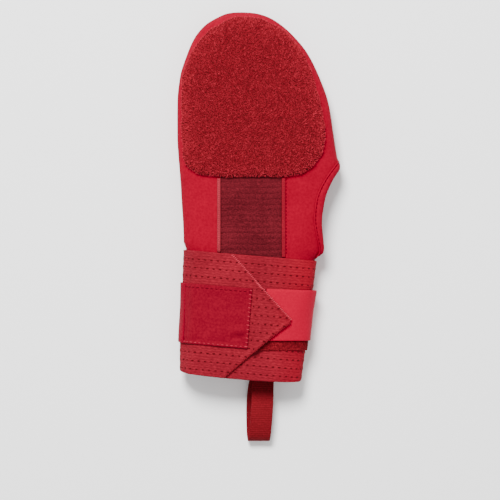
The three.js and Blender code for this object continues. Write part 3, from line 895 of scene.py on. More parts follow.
def pile_tree() -> bpy.types.NodeTree:
    """Makes the tree that raises a pile of tufts on a cloth.

    Returns:
        A tree for a mesh whose "pile" attribute is 1 where the pile grows and 0 elsewhere.
    """
    names = ("Density", "Length", "Width", "Lean", "Clump")
    inputs = [(name, "Float") for name in names] + [("Seed", "Int"), ("Yarn", "Material")]
    tree = new_tree("Pile", inputs)
    given = add_node(tree, "NodeGroupInput").outputs
    share = add_node(
        tree, "GeometryNodeInputNamedAttribute", {"Name": "pile"}, data_type="FLOAT"
    ).outputs["Attribute"]
    density = add_node(tree, "ShaderNodeMath", {0: share, 1: given["Density"]}, operation="MULTIPLY")
    spots = add_node(
        tree,
        "GeometryNodeDistributePointsOnFaces",
        {"Mesh": given["Geometry"], "Density": density.outputs["Value"], "Seed": given["Seed"]},
        distribute_method="RANDOM",
    )
    position = add_node(tree, "GeometryNodeInputPosition").outputs["Position"]
    scale = add_node(tree, "ShaderNodeMath", {0: 1.0, 1: given["Clump"]}, operation="DIVIDE").outputs["Value"]
    clumps = add_node(
        tree, "ShaderNodeTexNoise", {"Vector": position, "Scale": scale, "Detail": 1.0}
    ).outputs["Color"]
    middle = add_node(
        tree, "ShaderNodeVectorMath", {0: clumps, 1: (-0.5, -0.5, -0.5)}, operation="ADD"
    ).outputs["Vector"]
    stray = add_node(
        tree,
        "FunctionNodeRandomValue",
        {0: (-0.35, -0.35, -1.0), 1: (0.35, 0.35, 1.0), "Seed": given["Seed"]},
        data_type="FLOAT_VECTOR",
    ).outputs[0]
    lean = add_node(
        tree, "ShaderNodeVectorMath", {0: middle, "Scale": given["Lean"]}, operation="SCALE"
    ).outputs["Vector"]
    tilt = add_node(tree, "ShaderNodeVectorMath", {0: lean, 1: stray}, operation="ADD").outputs["Vector"]
    turned = add_node(
        tree,
        "FunctionNodeRotateRotation",
        {"Rotation": spots.outputs["Rotation"], "Rotate By": tilt},
        rotation_space="LOCAL",
    ).outputs["Rotation"]
    height = add_node(
        tree, "FunctionNodeRandomValue", {2: 0.65, 3: 1.15, "Seed": given["Seed"]}, data_type="FLOAT"
    ).outputs[1]
    long = add_node(tree, "ShaderNodeMath", {0: given["Length"], 1: height}, operation="MULTIPLY")
    size = add_node(
        tree,
        "ShaderNodeCombineXYZ",
        {"X": given["Width"], "Y": given["Width"], "Z": long.outputs["Value"]},
    ).outputs["Vector"]
    tuft = add_node(
        tree,
        "GeometryNodeMeshCone",
        {"Vertices": 3, "Radius Top": 0.0, "Radius Bottom": 0.5, "Depth": 1.0},
        fill_type="NONE",
    ).outputs["Mesh"]
    set_out = add_node(
        tree,
        "GeometryNodeInstanceOnPoints",
        {"Points": spots.outputs["Points"], "Instance": tuft, "Rotation": turned, "Scale": size},
    ).outputs["Instances"]
    real = add_node(tree, "GeometryNodeRealizeInstances", {"Geometry": set_out}).outputs["Geometry"]
    dyed = add_node(tree, "GeometryNodeSetMaterial", {"Geometry": real, "Material": given["Yarn"]})
    both = add_node(tree, "GeometryNodeJoinGeometry")
    tree.links.new(dyed.outputs["Geometry"], both.inputs[0])
    tree.links.new(given["Geometry"], both.inputs[0])
    add_node(tree, "NodeGroupOutput", {0: both.outputs["Geometry"]})
    return tree


# Finishes

# Colours are read off the photographed cloths under even light. Real yarns are half a
# millimetre or finer, which the render can't show, so each cloth's grain is drawn as coarse
# as it needs to show, from 0.8 to 1.9 mm.

# Nylon knit laminated on neoprene: even and smooth, with a soft broad shine on its turns.
NEOPRENE = Finish(
    "neoprene", "#80011d", "#77011a", "#8a0120", roughness=0.85, sheen=0.02, grain=1.7, cloud=14.0
)
# Knit ground of the plush, painted dark: painted shade of the tufts over it.
PLUSH_GROUND = Finish(
    "plush ground", "#4a0e12", "#420c10", "#521116", roughness=1.0, sheen=0.01, grain=1.6
)
# Short sheared plush: mottled clumps with dark gaps between the tufts. Real tufts are too fine
# to show, so they are drawn 0.6 mm wide.
PLUSH = Finish(
    "plush pile", "#a32534", "#97212f", "#b12939", roughness=1.0, sheen=0.035, grain=1.3, cloud=6.0
)
# Ribbed knit elastic: dull maroon that turns dark between its ribs.
RIBBED_ELASTIC = Finish(
    "ribbed elastic",
    "#4e131a",
    "#34090f",
    "#651b24",
    roughness=0.95,
    sheen=0.021,
    grain=0.9,
    grain_bump=0.2,
)
# Brushed knit tape: paler than the cloth beside it, felted and raised.
SEAM_TAPE = Finish(
    "seam tape", "#7b252e", "#6c1f27", "#8b2b35", roughness=0.9, sheen=0.042, grain=0.8, grain_bump=0.2
)
# The same tape dyed to match the neoprene, so that it hardly shows.
TONAL_TAPE = Finish("tonal tape", "#761120", "#6a0e1c", "#851525", roughness=0.9, sheen=0.032, grain=0.8)
# Heathered knit elastic: fine ribs along the band, flecked lighter and darker. The ribs are
# drawn 2 mm apart so that they show.
WRAP_KNIT = Finish(
    "heathered elastic",
    "#721622",
    "#5b0f19",
    "#8c1d2b",
    roughness=0.9,
    sheen=0.035,
    grain=0.8,
    grain_stretch=3.0,
    grain_bump=0.15,
    rib=2.0,
    rib_bump=0.12,
    # rib_shade paints shade between the ribs.
    rib_shade=0.14,
    chart=Chart.CLOTH,
    fade=Fade("#800d1e", 2.0, 42.0),
)
# Smooth woven elastic: the brightest cloth, with a clean shine.
STRAP_ELASTIC = Finish(
    "strap elastic",
    "#9b0026",
    "#950024",
    "#a30028",
    roughness=0.75,
    sheen=0.02,
    grain=1.5,
    fade=Fade("#74011c", -18.0, -46.0),
)
# Brushed loop cloth: even and a little darker than the strap.
PATCH_CLOTH = Finish(
    "brushed loop cloth", "#6d091c", "#610718", "#7a0c20", roughness=0.9, sheen=0.02, grain=1.5, cloud=9.0
)
# Hook-and-loop pile, very dark: painted shade, of the hooks on each other and of the strap's shadow on the
# strip.
HOOK_PILE = Finish("hook pile", "#631018", "#46090e", "#801822", roughness=1.0, sheen=0.01, grain=1.9)
# Woven webbing: dull, with weft ribs across it, drawn 1.6 mm apart so that they show.
WEBBING = Finish(
    "webbing",
    "#621118",
    "#500c12",
    "#73161f",
    roughness=0.85,
    sheen=0.021,
    grain=1.1,
    rib=1.6,
    rib_bump=0.15,
    # rib_shade paints shade between the ribs.
    rib_shade=0.3,
    rib_across=True,
    chart=Chart.CLOTH,
)
# Twisted polyester thread, slightly glossy: pale pink, dyed to match the cloth, or near black.
PALE_THREAD = Finish("pale thread", "#a32d3d", "#8f2634", "#b83446", roughness=0.6, grain=0.4)
TONAL_THREAD = Finish("tonal thread", "#741420", "#69111c", "#811725", roughness=0.6, grain=0.4)
DARK_THREAD = Finish("dark thread", "#460a10", "#3d070c", "#500c13", roughness=0.8, sheen=0.01, grain=0.4)


@dataclass(frozen=True)
class Stitch:
    """A kind of stitch: its sizes in millimetres, its turn in degrees, its wander in radians."""

    pitch: float
    length: float
    width: float
    height: float = 0.4
    turn: float = 0.0
    wander: float = 0.08
    seed: int = 1


@dataclass(frozen=True)
class Pile:
    """A pile on a cloth: its tufts to a square millimetre, and their sizes in millimetres."""

    ground: Finish
    yarn: Finish
    tufts: float
    length: float
    width: float
    lean: float
    clump: float
    seed: int


class Dyes:
    """Makes each finish's material once."""

    def __init__(self) -> None:
        """Starts with no materials."""
        self.made: dict[str, bpy.types.Material] = {}

    def get(self, finish: Finish) -> bpy.types.Material:
        """Gives a finish's material, which is made the first time.

        Args:
            finish: The finish.

        Returns:
            The material.
        """
        if finish.name not in self.made:
            self.made[finish.name] = finish.build()
        return self.made[finish.name]


@dataclass
class Tools:
    """What every piece is made with."""

    form: MittForm
    shop: Workshop
    dyes: Dyes
    stitches: bpy.types.NodeTree
    pile: bpy.types.NodeTree

    def dress(self, piece: bpy.types.Object, finish: Finish) -> bpy.types.Object:
        """Gives a piece its finish and its place in the part.

        Args:
            piece: The piece.
            finish: Its finish.

        Returns:
            The piece.
        """
        if not piece.data.materials:
            piece.data.materials.append(self.dyes.get(finish))
        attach(piece, "root")
        return piece

    def sew(
        self,
        name: str,
        lines: Sequence[tuple[np.ndarray, np.ndarray]],
        thread: Finish,
        stitch: Stitch,
    ) -> bpy.types.Object:
        """Sets stitches along lines.

        Args:
            name: The name of the threads' piece.
            lines: For each line, its points and the outward direction at each.
            thread: The thread's finish.
            stitch: The kind of stitch.

        Returns:
            The threads' piece.
        """
        piece = run_nodes(
            self.shop.paths(name, lines),
            self.stitches,
            pitch=stitch.pitch * MM,
            length=stitch.length * MM,
            width=stitch.width * MM,
            height=stitch.height * MM,
            turn=math.radians(stitch.turn),
            wander=stitch.wander,
            seed=stitch.seed,
            thread=self.dyes.get(thread),
        )
        return self.dress(piece, thread)

    def grow(self, piece: bpy.types.Object, pile: Pile, share: np.ndarray) -> None:
        """Grows a pile on a cloth.

        Args:
            piece: The cloth.
            pile: The kind of pile.
            share: How thick the pile grows at each point, from 0 to 1.
        """
        attribute = piece.data.attributes.new("pile", "FLOAT", "POINT")
        attribute.data.foreach_set("value", share.astype(np.float32))
        piece.data.materials.append(self.dyes.get(pile.ground))
        run_nodes(
            piece,
            self.pile,
            density=pile.tufts / MM**2,
            length=pile.length * MM,
            width=pile.width * MM,
            lean=pile.lean,
            clump=pile.clump * MM,
            seed=pile.seed,
            yarn=self.dyes.get(pile.yarn),
        )


def line_over(
    form: MittForm, around: np.ndarray, down: np.ndarray, lift: np.ndarray | float
) -> tuple[np.ndarray, np.ndarray]:
    """A line lifted over the shell: its points and the outward direction at each."""
    around, down = np.broadcast_arrays(np.asarray(around, float), np.asarray(down, float))
    return form.raised(around, down, lift), form.normal(around, down)


# The shell and its thumb hem


def spaced_downs(first: float, last: float, step: float) -> np.ndarray:
    """Distances from the fingertips, packed closer where the tip rounds off.

    Args:
        first: The first distance.
        last: The last distance.
        step: From one to the next, past the round tip.

    Returns:
        The distances, in rising order.
    """
    tip_end, tip_rings = 36.0, 21
    roots = np.linspace(0, math.sqrt(tip_end), tip_rings + 1)[1:] ** 2
    body = np.linspace(tip_end, last, max(2, round((last - tip_end) / step)) + 1)[1:]
    downs = np.concatenate([roots, body])
    return downs[downs >= first]


@dataclass
class ThumbHole:
    """The hole in the thumb side: a shallow bay in the palm and in the back.

    With a skew below 1, the bay is deepest above its middle.
    """

    top: float = 113.5
    bottom: float = 171.5
    depth: float = 9.4
    skew: float = 0.85

    def edge(self, form: MittForm, margin: np.ndarray | float, count: int) -> tuple[np.ndarray, np.ndarray]:
        """The hole's edge moved out from the hole.

        Args:
            form: The mitt's form.
            margin: How far out the edge is moved; more than one in a column of margins.
            count: Points along the edge.

        Returns:
            The edge's angles around and distances down.
        """
        turn = np.arange(count) * math.tau / count
        along = (1 - np.cos(turn)) / 2
        down = self.top - margin + (self.bottom - self.top + 2 * margin) * along
        bay = (self.depth + margin) * np.sin(math.pi * along**self.skew)
        share = np.clip(1 - bay / form.section(down)[1], 1e-6, 1)
        on_palm = turn <= math.pi
        power = np.where(on_palm, form.palm_power, form.back_power)
        slope = np.maximum(share**-power - 1, 0) ** (1 / power)
        around = 90 + np.degrees(np.arctan(slope)) * np.where(on_palm, -1, 1)
        return around, down


@dataclass
class Shell:
    """The hollow neoprene mitt with its thumb hole and the panel's window.

    The cutters reach from cut_over above the shell to cut_under past its wall.
    """

    hole: ThumbHole
    window_left: float = -14.7
    window_right: float = 30.6
    window_top: float = 112.5
    window_past: float = 8.0
    turn_step: float = 2.5
    down_step: float = 2.4
    inner_start: float = 9.0
    crease: float = 40.0
    cut_over: float = 4.0
    cut_under: float = 2.0

    def build(self, tools: Tools) -> list[bpy.types.Object]:
        """Makes the shell.

        Args:
            tools: What the piece is made with.

        Returns:
            The shell alone.
        """
        form, shop = tools.form, tools.shop
        hem = form.cuff_bottom - form.shell_hem
        around = np.arange(0, FULL_TURN, self.turn_step)
        outer_downs = spaced_downs(0, hem, self.down_step)
        inner_downs = spaced_downs(self.inner_start, hem, 2 * self.down_step)
        outer = form.raised(around[None, :], outer_downs[:, None], 0)
        inner = form.raised(around[None, :], inner_downs[:, None], -form.wall)
        rows = np.concatenate([outer, inner[::-1]])
        tip = form.skin(np.zeros(1), np.zeros(1))
        inner_tip = inner[0].mean(axis=0, keepdims=True)
        points = np.concatenate([rows.reshape(-1, 3), tip, inner_tip])
        count, last = len(around), len(rows) * len(around)
        ring = np.arange(count)
        after = np.roll(ring, -1)
        faces: list[Sequence[int]] = quads(len(rows), count, wrap_columns=True).tolist()
        faces += [(last, b, a) for a, b in zip(ring, after)]
        faces += [(last + 1, last - count + a, last - count + b) for a, b in zip(ring, after)]
        shell = shop.mesh("neoprene_shell", points, faces)
        cut(shell, self.thumb_cutter(tools))
        cut(shell, self.window_cutter(tools))
        shell.data.shade_smooth()
        shell.data.set_sharp_from_angle(angle=math.radians(self.crease))
        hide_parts("shell")
        return [tools.dress(shell, NEOPRENE)]

    def thumb_cutter(self, tools: Tools) -> bpy.types.Object:
        """Makes the mesh that cuts the thumb hole.

        Args:
            tools: What the mesh is made with.

        Returns:
            The cutter.
        """
        form = tools.form
        around, down = self.hole.edge(form, 0.0, 120)
        middle = np.array([90.0, (self.hole.top + self.hole.bottom) / 2])
        shares = np.linspace(0, 1, 7)[1:]
        rim = np.stack([around, down], axis=1)
        spots = middle + (rim - middle) * shares[:, None, None]
        flat = np.concatenate([middle[None], spots.reshape(-1, 2)])
        levels = [
            form.raised(flat[:, 0], flat[:, 1], lift) for lift in (self.cut_over, -form.wall - self.cut_under)
        ]
        return tools.shop.mesh("hole_cutter", np.concatenate(levels), patch_faces(len(rim), len(shares)))

    def window_cutter(self, tools: Tools) -> bpy.types.Object:
        """Makes the mesh that cuts the panel's window.

        Args:
            tools: What the mesh is made with.

        Returns:
            The cutter.
        """
        form = tools.form
        x = np.linspace(self.window_left, self.window_right, 24)
        share = np.linspace(0, 1, 30)[:, None]
        y = -(self.window_top + (form.cuff_edge(x) + self.window_past - self.window_top) * share)
        x = np.broadcast_to(x, y.shape)
        upper = form.over_palm(x, y, self.cut_over)
        lower = form.over_palm(x, y, -form.wall - self.cut_under)
        return tools.shop.slab("window_cutter", upper, lower, np.stack([x, y], axis=-1))


def patch_faces(size: int, rings: int) -> list[Sequence[int]]:
    """Faces of a closed patch: a centre and rings on top, and the same below.

    Args:
        size: Points in a ring.
        rings: Rings on each side.

    Returns:
        The faces, as point numbers.
    """
    under = 1 + rings * size
    ring = np.arange(size)
    after = np.roll(ring, -1)
    net = quads(rings, size, wrap_columns=True) + 1
    faces: list[Sequence[int]] = [(0, 1 + a, 1 + b) for a, b in zip(ring, after)]
    faces += [(under, under + 1 + b, under + 1 + a) for a, b in zip(ring, after)]
    faces += net[:, ::-1].tolist()
    faces += (net + under).tolist()
    edge = 1 + (rings - 1) * size
    faces += [(edge + a, under + edge + a, under + edge + b, edge + b) for a, b in zip(ring, after)]
    return faces


@dataclass
class ThumbHem:
    """The folded hem round the thumb hole, with its stitched groove."""

    hole: ThumbHole
    width: float = 4.9
    cloth: float = 1.0
    seat: float = 0.45
    lip: float = -0.9
    groove: float = 3.4
    points: int = 220
    stitch: Stitch = Stitch(pitch=2.9, length=2.2, width=0.55, height=0.3)

    def profile(self, wall: float) -> list[tuple[float, float]]:
        """The hem's section, from its outer edge over the groove and the rolled edge down the cut.

        Args:
            wall: The thickness of the neoprene that the hem folds round.

        Returns:
            How far out from the hole, and how high over the shell, each corner lies.
        """
        top = self.seat + self.cloth
        inner = self.lip - self.cloth
        return [
            (self.width, self.seat),
            (self.width, self.seat + 0.35),
            (self.width - 0.25, top - 0.25),
            (self.groove + 0.8, top - 0.05),
            (self.groove + 0.5, top - 0.25),
            (self.groove + 0.2, top - 0.75),
            (self.groove - 0.2, top - 0.75),
            (self.groove - 0.5, top - 0.2),
            (self.groove - 1.2, top + 0.1),
            (self.groove - 2.4, top + 0.15),
            (self.groove - 3.4, top),
            (inner + 0.5, top - 0.45),
            (inner + 0.1, top - 1.1),
            (inner, top - 1.8),
            (inner, -wall),
            (self.lip, -wall),
            (self.lip, 0.0),
            (self.lip + 0.45, self.seat),
        ]

    def build(self, tools: Tools) -> list[bpy.types.Object]:
        """Makes the hem and its stitches.

        Args:
            tools: What the pieces are made with.

        Returns:
            The hem and the thread.
        """
        form = tools.form
        rows = []
        turn = np.arange(self.points) * math.tau / self.points
        thin = 0.3 + 0.7 * smooth_step(np.abs(np.sin(turn)), 0.02, 0.4)
        for margin, lift in self.profile(form.wall):
            around, down = self.hole.edge(form, margin, self.points)
            rows.append(form.raised(around, down, lift * thin if lift > 0 else lift))
        net = np.stack(rows)
        faces = quads(len(rows), self.points, wrap_rows=True, wrap_columns=True)
        hem = tools.shop.mesh("folded_thumb_hem", net, faces)
        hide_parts("thumb_hem")
        around, down = self.hole.edge(form, self.groove, self.points)
        seam = [line_over(form, np.append(around, around[0]), np.append(down, down[0]), self.seat + 0.3)]
        thread = tools.sew("hem_stitches", seam, DARK_THREAD, self.stitch)
        return [tools.dress(hem, NEOPRENE), thread]


# The plush palm pad


@dataclass(frozen=True)
class Corner:
    """How far a round corner of the pad reaches across the palm and along it."""

    across: float
    along: float


@dataclass
class PalmPad:
    """The plush pad over the fingers and the palm."""

    length: float = 121.5
    thickness: float = 3.6
    edge: float = 1.5
    clear: float = 0.3
    little_corner: Corner = Corner(across=23.0, along=14.0)
    thumb_corner: Corner = Corner(across=26.0, along=32.0)
    shoulder: float = 0.84
    rings: int = 34
    rim_points: int = 200
    smoothing: int = 6
    inset: float = 0.9
    thumb_inset: float = 0.8
    little_outset: float = 1.4
    ragged: float = 0.0035
    lump: float = 0.22
    puff: float = 0.9
    thin_edge: float = 0.7
    pile: Pile = Pile(PLUSH_GROUND, PLUSH, tufts=4.8, length=1.15, width=0.6, lean=2.4, clump=1.5, seed=7)

    def side(self, form: MittForm, share: Curve, margin: Curve, corner: Corner, sign: int) -> np.ndarray:
        """One side of the pad's outline and its corner, from the fingertips down.

        Args:
            form: The mitt's form.
            share: The hand's outline on this side, as a share of the width.
            margin: How far the pad stays inside it.
            corner: The corner at the heel.
            sign: 1 on the thumb side and -1 on the little finger's.

        Returns:
            Points seen from above.
        """

        def outline(root: np.ndarray) -> np.ndarray:
            """The hand's outline at the roots of distances."""
            down = root**2
            return np.stack([sign * share(down) * form.width, -down], axis=1)

        roots = np.linspace(0, math.sqrt(self.length - corner.along), 64)[1:]
        tangent = outline(roots + 0.01) - outline(roots - 0.01)
        tangent /= np.linalg.norm(tangent, axis=1, keepdims=True)
        inwards = np.stack([sign * tangent[:, 1], -sign * tangent[:, 0]], axis=1)
        sides = outline(roots) + inwards * margin(roots**2)[:, None]
        turn = np.linspace(0, math.pi / 2, 18)[1:]
        end_x, end_y = sides[-1]
        x = end_x - sign * corner.across * (1 - np.cos(turn))
        y = end_y + (-self.length - end_y) * np.sin(turn)
        return np.concatenate([sides, np.stack([x, y], axis=1)])

    def outline(self, form: MittForm) -> np.ndarray:
        """The pad's outline seen from above.

        Args:
            form: The mitt's form.

        Returns:
            Evenly spaced points round the outline, with a slightly uneven edge.
        """
        little = form.table_curve(PAD_MARGINS, "little")
        thumb = form.table_curve(PAD_MARGINS, "thumb")
        tip = np.array([[0.0, -float(thumb(np.zeros(1))[0])]])
        right = self.side(form, form.thumb, thumb, self.thumb_corner, 1)
        left = self.side(form, form.little, little, self.little_corner, -1)
        rim = np.concatenate([tip, right, left[::-1], tip])
        run = run_along(rim)
        even = np.linspace(0, run[-1], self.rim_points + 1)[:-1]
        points = np.stack([np.interp(even, run, rim[:, axis]) for axis in (0, 1)], axis=1)
        for _ in range(self.smoothing):
            points = (np.roll(points, 1, axis=0) + 2 * points + np.roll(points, -1, axis=0)) / 4
        middle = points.mean(axis=0)
        outwards = (points - middle) / np.linalg.norm(points - middle, axis=1, keepdims=True)
        thumb_side = smooth_step(outwards[:, 0], 0.2, 0.9)
        over_little = smooth_step(-outwards[:, 0], 0.05, 0.45) * smooth_step(outwards[:, 1], 0.2, 0.6)
        inset = self.inset + self.thumb_inset * thumb_side - self.little_outset * over_little
        points = points - outwards * inset[:, None]
        ragged = 1 - self.ragged * (np.sin(even / 3.1) + np.sin(even / 1.7 + 2) + np.sin(even / 5.3 + 4))
        return middle + (points - middle) * ragged[:, None]

    def build(self, tools: Tools) -> list[bpy.types.Object]:
        """Makes the pad with its pile.

        Args:
            tools: What the piece is made with.

        Returns:
            The pad.
        """
        form = tools.form
        rim = self.outline(form)
        middle = np.array([(rim[:, 0].min() + rim[:, 0].max()) / 2, -self.length / 2])
        # The rings lie closer together towards the edge, where the top rounds off.
        shares = 1 - (1 - np.linspace(0, 1, self.rings + 1)[1:]) ** 1.35
        spots = middle + (rim - middle) * shares[:, None, None]
        flat = np.concatenate([middle[None], spots.reshape(-1, 2)])
        reach = np.concatenate([[0.0], np.repeat(shares, len(rim))])
        dome = np.sqrt(1 - np.clip((reach - self.shoulder) / (1 - self.shoulder), 0, 1) ** 2)
        top = self.clear + self.edge + (self.thickness - self.edge) * dome
        x, y = flat[:, 0], flat[:, 1]
        lumps = self.lump * np.sin(x / 9 + 1.3 * np.sin(y / 17)) * np.sin(y / 12 + 0.7)
        upper = form.over_palm(x, y, top + lumps * dome)
        lower = form.over_palm(x, y, self.clear)
        points = np.concatenate([upper, lower])
        chart = np.concatenate([flat, flat])
        pad = tools.shop.mesh("plush_palm_pad", points, patch_faces(len(rim), len(shares)), chart)
        loose = np.concatenate([np.clip(1.2 - reach, 0, 1) * dome, np.zeros(len(flat))])
        self.inflate(pad, loose)
        thick = 1 - self.thin_edge * smooth_step(reach, 0.93, 1.0)
        tools.grow(pad, self.pile, np.concatenate([thick, np.zeros(len(flat))]))
        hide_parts("palm_pad")
        return [tools.dress(pad, PLUSH)]

    def inflate(self, pad: bpy.types.Object, loose: np.ndarray) -> None:
        """Puffs the pad up as cloth over foam, with its edge and its underside held.

        The cloth is simulated on a copy ten times as large, since the solver works in metres.

        Args:
            pad: The pad.
            loose: How freely each point moves, from 0 to 1.
        """
        big, frames = 10.0, 20
        rest = np.empty(len(pad.data.vertices) * 3)
        pad.data.vertices.foreach_get("co", rest)
        copy = pad.copy()
        copy.data = pad.data.copy()
        bpy.context.scene.collection.objects.link(copy)
        copy.data.vertices.foreach_set("co", rest * big)
        held = copy.vertex_groups.new(name="held")
        for index in np.flatnonzero(loose < 0.02):
            held.add([int(index)], 1.0, "REPLACE")
        cloth = copy.modifiers.new("cloth", "CLOTH")
        cloth.settings.vertex_group_mass = "held"
        cloth.settings.use_pressure = True
        cloth.settings.uniform_pressure_force = 4
        cloth.settings.shrink_min = -0.03
        cloth.settings.effector_weights.gravity = 0
        cloth.settings.quality = 4
        cloth.point_cache.frame_start, cloth.point_cache.frame_end = 1, frames
        scene = bpy.context.scene
        for frame in range(1, frames + 1):
            scene.frame_set(frame)
        graph = bpy.context.evaluated_depsgraph_get()
        puffed = np.empty_like(rest)
        copy.evaluated_get(graph).data.vertices.foreach_get("co", puffed)
        bpy.data.objects.remove(copy)
        scene.frame_set(1)
        move = (puffed / big - rest).reshape(-1, 3)
        length = np.linalg.norm(move, axis=1, keepdims=True)
        cap = self.puff * MM * loose[:, None]
        move *= cap / np.maximum(length, cap + 1e-9)
        pad.data.vertices.foreach_set("co", (rest.reshape(-1, 3) + move).ravel())
        pad.data.update()


# The elastic panel and the tapes over its seams


@dataclass(frozen=True)
class PalmStrip:
    """A cloth over the palm, from a level top down to the cuff's leaning edge."""

    left: float
    right: float
    top: float
    past_cuff: float

    def net(
        self, form: MittForm, columns: int, step: float
    ) -> tuple[np.ndarray, np.ndarray, np.ndarray, np.ndarray]:
        """The cloth's points seen from above.

        Args:
            form: The mitt's form.
            columns: Points across it.
            step: From one row to the next, in millimetres.

        Returns:
            Each point's x, y, distance from the left edge and distance from the top.
        """
        x = np.linspace(self.left, self.right, columns)
        length = form.cuff_edge(x) + self.past_cuff - self.top
        share = np.linspace(0, 1, round(float(length.max()) / step) + 1)[:, None]
        place = length * share
        x = np.broadcast_to(x, place.shape)
        return x, -(self.top + place), x - self.left, place


@dataclass
class ElasticPanel:
    """The ribbed elastic panel in the shell's window."""

    strip: PalmStrip = PalmStrip(left=-14.4, right=30.3, top=112.8, past_cuff=7.7)
    cloth: float = 1.6
    sunk: float = 0.5
    pitch: float = 4.1
    rib_depth: float = 0.55
    rib_wander: float = 0.25
    belly: float = 0.25
    slack: float = 1.02
    columns: int = 46
    row_step: float = 0.42
    shirring: Stitch = Stitch(pitch=2.6, length=2.0, width=0.6, height=0.3, wander=0.2)

    def rib(self, down: np.ndarray, across: np.ndarray) -> np.ndarray:
        """How deep the cloth dips between its ribs.

        Args:
            down: Distances from the panel's top.
            across: Distances from its left edge.

        Returns:
            Depths below the crests of the ribs.
        """
        wander = self.rib_wander * np.sin(across / 6.1) + 0.15 * np.sin(across / 2.3 + down / 9)
        wave = np.abs(np.sin(math.pi * (down + wander) / self.pitch))
        return self.rib_depth * (1 - wave**0.55)

    def build(self, tools: Tools) -> list[bpy.types.Object]:
        """Makes the panel and the shirring stitches in its furrows.

        Args:
            tools: What the pieces are made with.

        Returns:
            The panel and its stitches.
        """
        form = tools.form
        x, y, across, along = self.strip.net(form, self.columns, self.row_step)
        dip = self.rib(along, across)
        width, length = self.strip.right - self.strip.left, float(along.max())
        belly = self.belly * np.sin(math.pi * across / width)
        upper = form.over_palm(x, y, -self.sunk - dip + belly)
        lower = form.over_palm(x, y, -self.sunk - self.cloth)
        panel = tools.shop.slab("ribbed_panel", upper, lower, np.stack([x, y], axis=-1))
        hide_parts("elastic_panel")
        tools.dress(panel, RIBBED_ELASTIC)
        lines = []
        for count in range(1, int(length / self.pitch) + 1):
            xs = np.linspace(self.strip.left + 1.2, self.strip.right - 1.2, 60)
            wander = self.rib_wander * np.sin((xs - self.strip.left) / 6.1)
            ys = -(self.strip.top + count * self.pitch) - wander
            lift = -self.sunk - self.rib_depth + 0.15
            lines.append((form.over_palm(xs, ys, lift), form.palm_normal(xs, ys)))
        thread = tools.sew("shirring", lines, DARK_THREAD, self.shirring)
        return [panel, thread]


@dataclass
class SeamTapes:
    """The tapes over the panel's two seams."""

    left_edges: tuple[float, float] = (-16.7, 30.0)
    width: float = 2.6
    cloth: float = 0.9
    clear: float = 0.3
    top: float = 122.1
    past_cuff: float = -0.6
    knot: float = 0.12
    radius: float = 0.6
    beside: float = 0.7
    zigzag: Stitch = Stitch(pitch=1.5, length=2.2, width=0.42, turn=62.0, wander=0.25)
    lock_stitch: Stitch = Stitch(pitch=2.5, length=1.9, width=0.6, height=0.3)

    def build(self, tools: Tools) -> list[bpy.types.Object]:
        """Makes both tapes, the zigzag over each and the lock stitches beside the thumb's one.

        Args:
            tools: What the pieces are made with.

        Returns:
            The tapes and their threads.
        """
        form = tools.form
        made = []
        kinds = (("seam_tape_little", SEAM_TAPE, PALE_THREAD), ("seam_tape_thumb", TONAL_TAPE, TONAL_THREAD))
        for left, (node, finish, thread) in zip(self.left_edges, kinds):
            strip = PalmStrip(left, left + self.width, self.top, self.past_cuff)
            x, y, across, along = strip.net(form, 11, 0.8)
            drop = rounded_edge(across, self.width, self.radius)
            knots = self.knot * np.sin(along * math.tau / self.zigzag.length)
            upper = form.over_palm(x, y, self.clear + self.cloth - drop + knots)
            lower = form.over_palm(x, y, self.clear)
            tape = tools.shop.slab(f"{node}_cloth", upper, lower, np.stack([x, y], axis=-1))
            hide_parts(node)
            made.append(tools.dress(tape, finish))
            ys = np.linspace(-strip.top - 1, y.min() + 2, 70)
            xs = np.full_like(ys, left + self.width / 2)
            spine = (form.over_palm(xs, ys, self.clear + self.cloth + 0.05), form.palm_normal(xs, ys))
            made.append(tools.sew(f"{node}_stitches", [spine], thread, self.zigzag))
        ys = np.linspace(-self.top - 1, -form.cuff_top + 1, 70)
        xs = np.full_like(ys, self.left_edges[1] + self.width + self.beside)
        beside = (form.over_palm(xs, ys, 0.02), form.palm_normal(xs, ys))
        made.append(tools.sew("panel_seam_stitches", [beside], DARK_THREAD, self.lock_stitch))
        return made


# Strips wound about the cuff


@dataclass
class CuffLayers:
    """How the cuff's strips lie over each other as they go round."""

    clear: float = 0.3
    wrap: float = 1.6
    strip: float = 1.0
    strap: float = 1.4
    wrap_start: float = -46.0
    strip_start: float = 14.5
    strip_end: float = 118.0
    hem_bow: float = 2.5
    climb_gap: float = 1.0
    climb: float = 15.0
    short_climb: float = 7.0

    def wrap_lift(self, around: np.ndarray) -> np.ndarray:
        """How high over the shell the wrap's inner face lies.

        It climbs over its own start, and its point climbs over the strap.

        Args:
            around: Angles about the hand.

        Returns:
            The height at each angle.
        """
        lap = FULL_TURN + self.wrap_start - self.climb_gap
        point = FULL_TURN + self.strip_start - self.climb_gap
        over_start = (self.wrap + self.clear) * smooth_step(around, lap - self.climb, lap)
        strap = self.strip + self.strap + 2 * self.clear
        return self.clear + over_start + strap * smooth_step(around, point - self.short_climb, point)

    def strap_lift(self, around: np.ndarray) -> np.ndarray:
        """How high over the shell the strap's inner face lies.

        It drops onto the wrap past the fastener strip's end.

        Args:
            around: Angles about the hand.

        Returns:
            The height at each angle.
        """
        drop = self.strip_end + self.climb_gap
        dropped = smooth_step(around, drop, drop + self.climb)
        return self.wrap_lift(around) + self.wrap + self.clear + (self.strip + self.clear) * (1 - dropped)

    def hem(self, form: MittForm, around: np.ndarray) -> np.ndarray:
        """The distance down to the wrap's lower edge."""
        return form.cuff_bottom + self.hem_bow * np.maximum(0, np.cos(np.radians(around)))


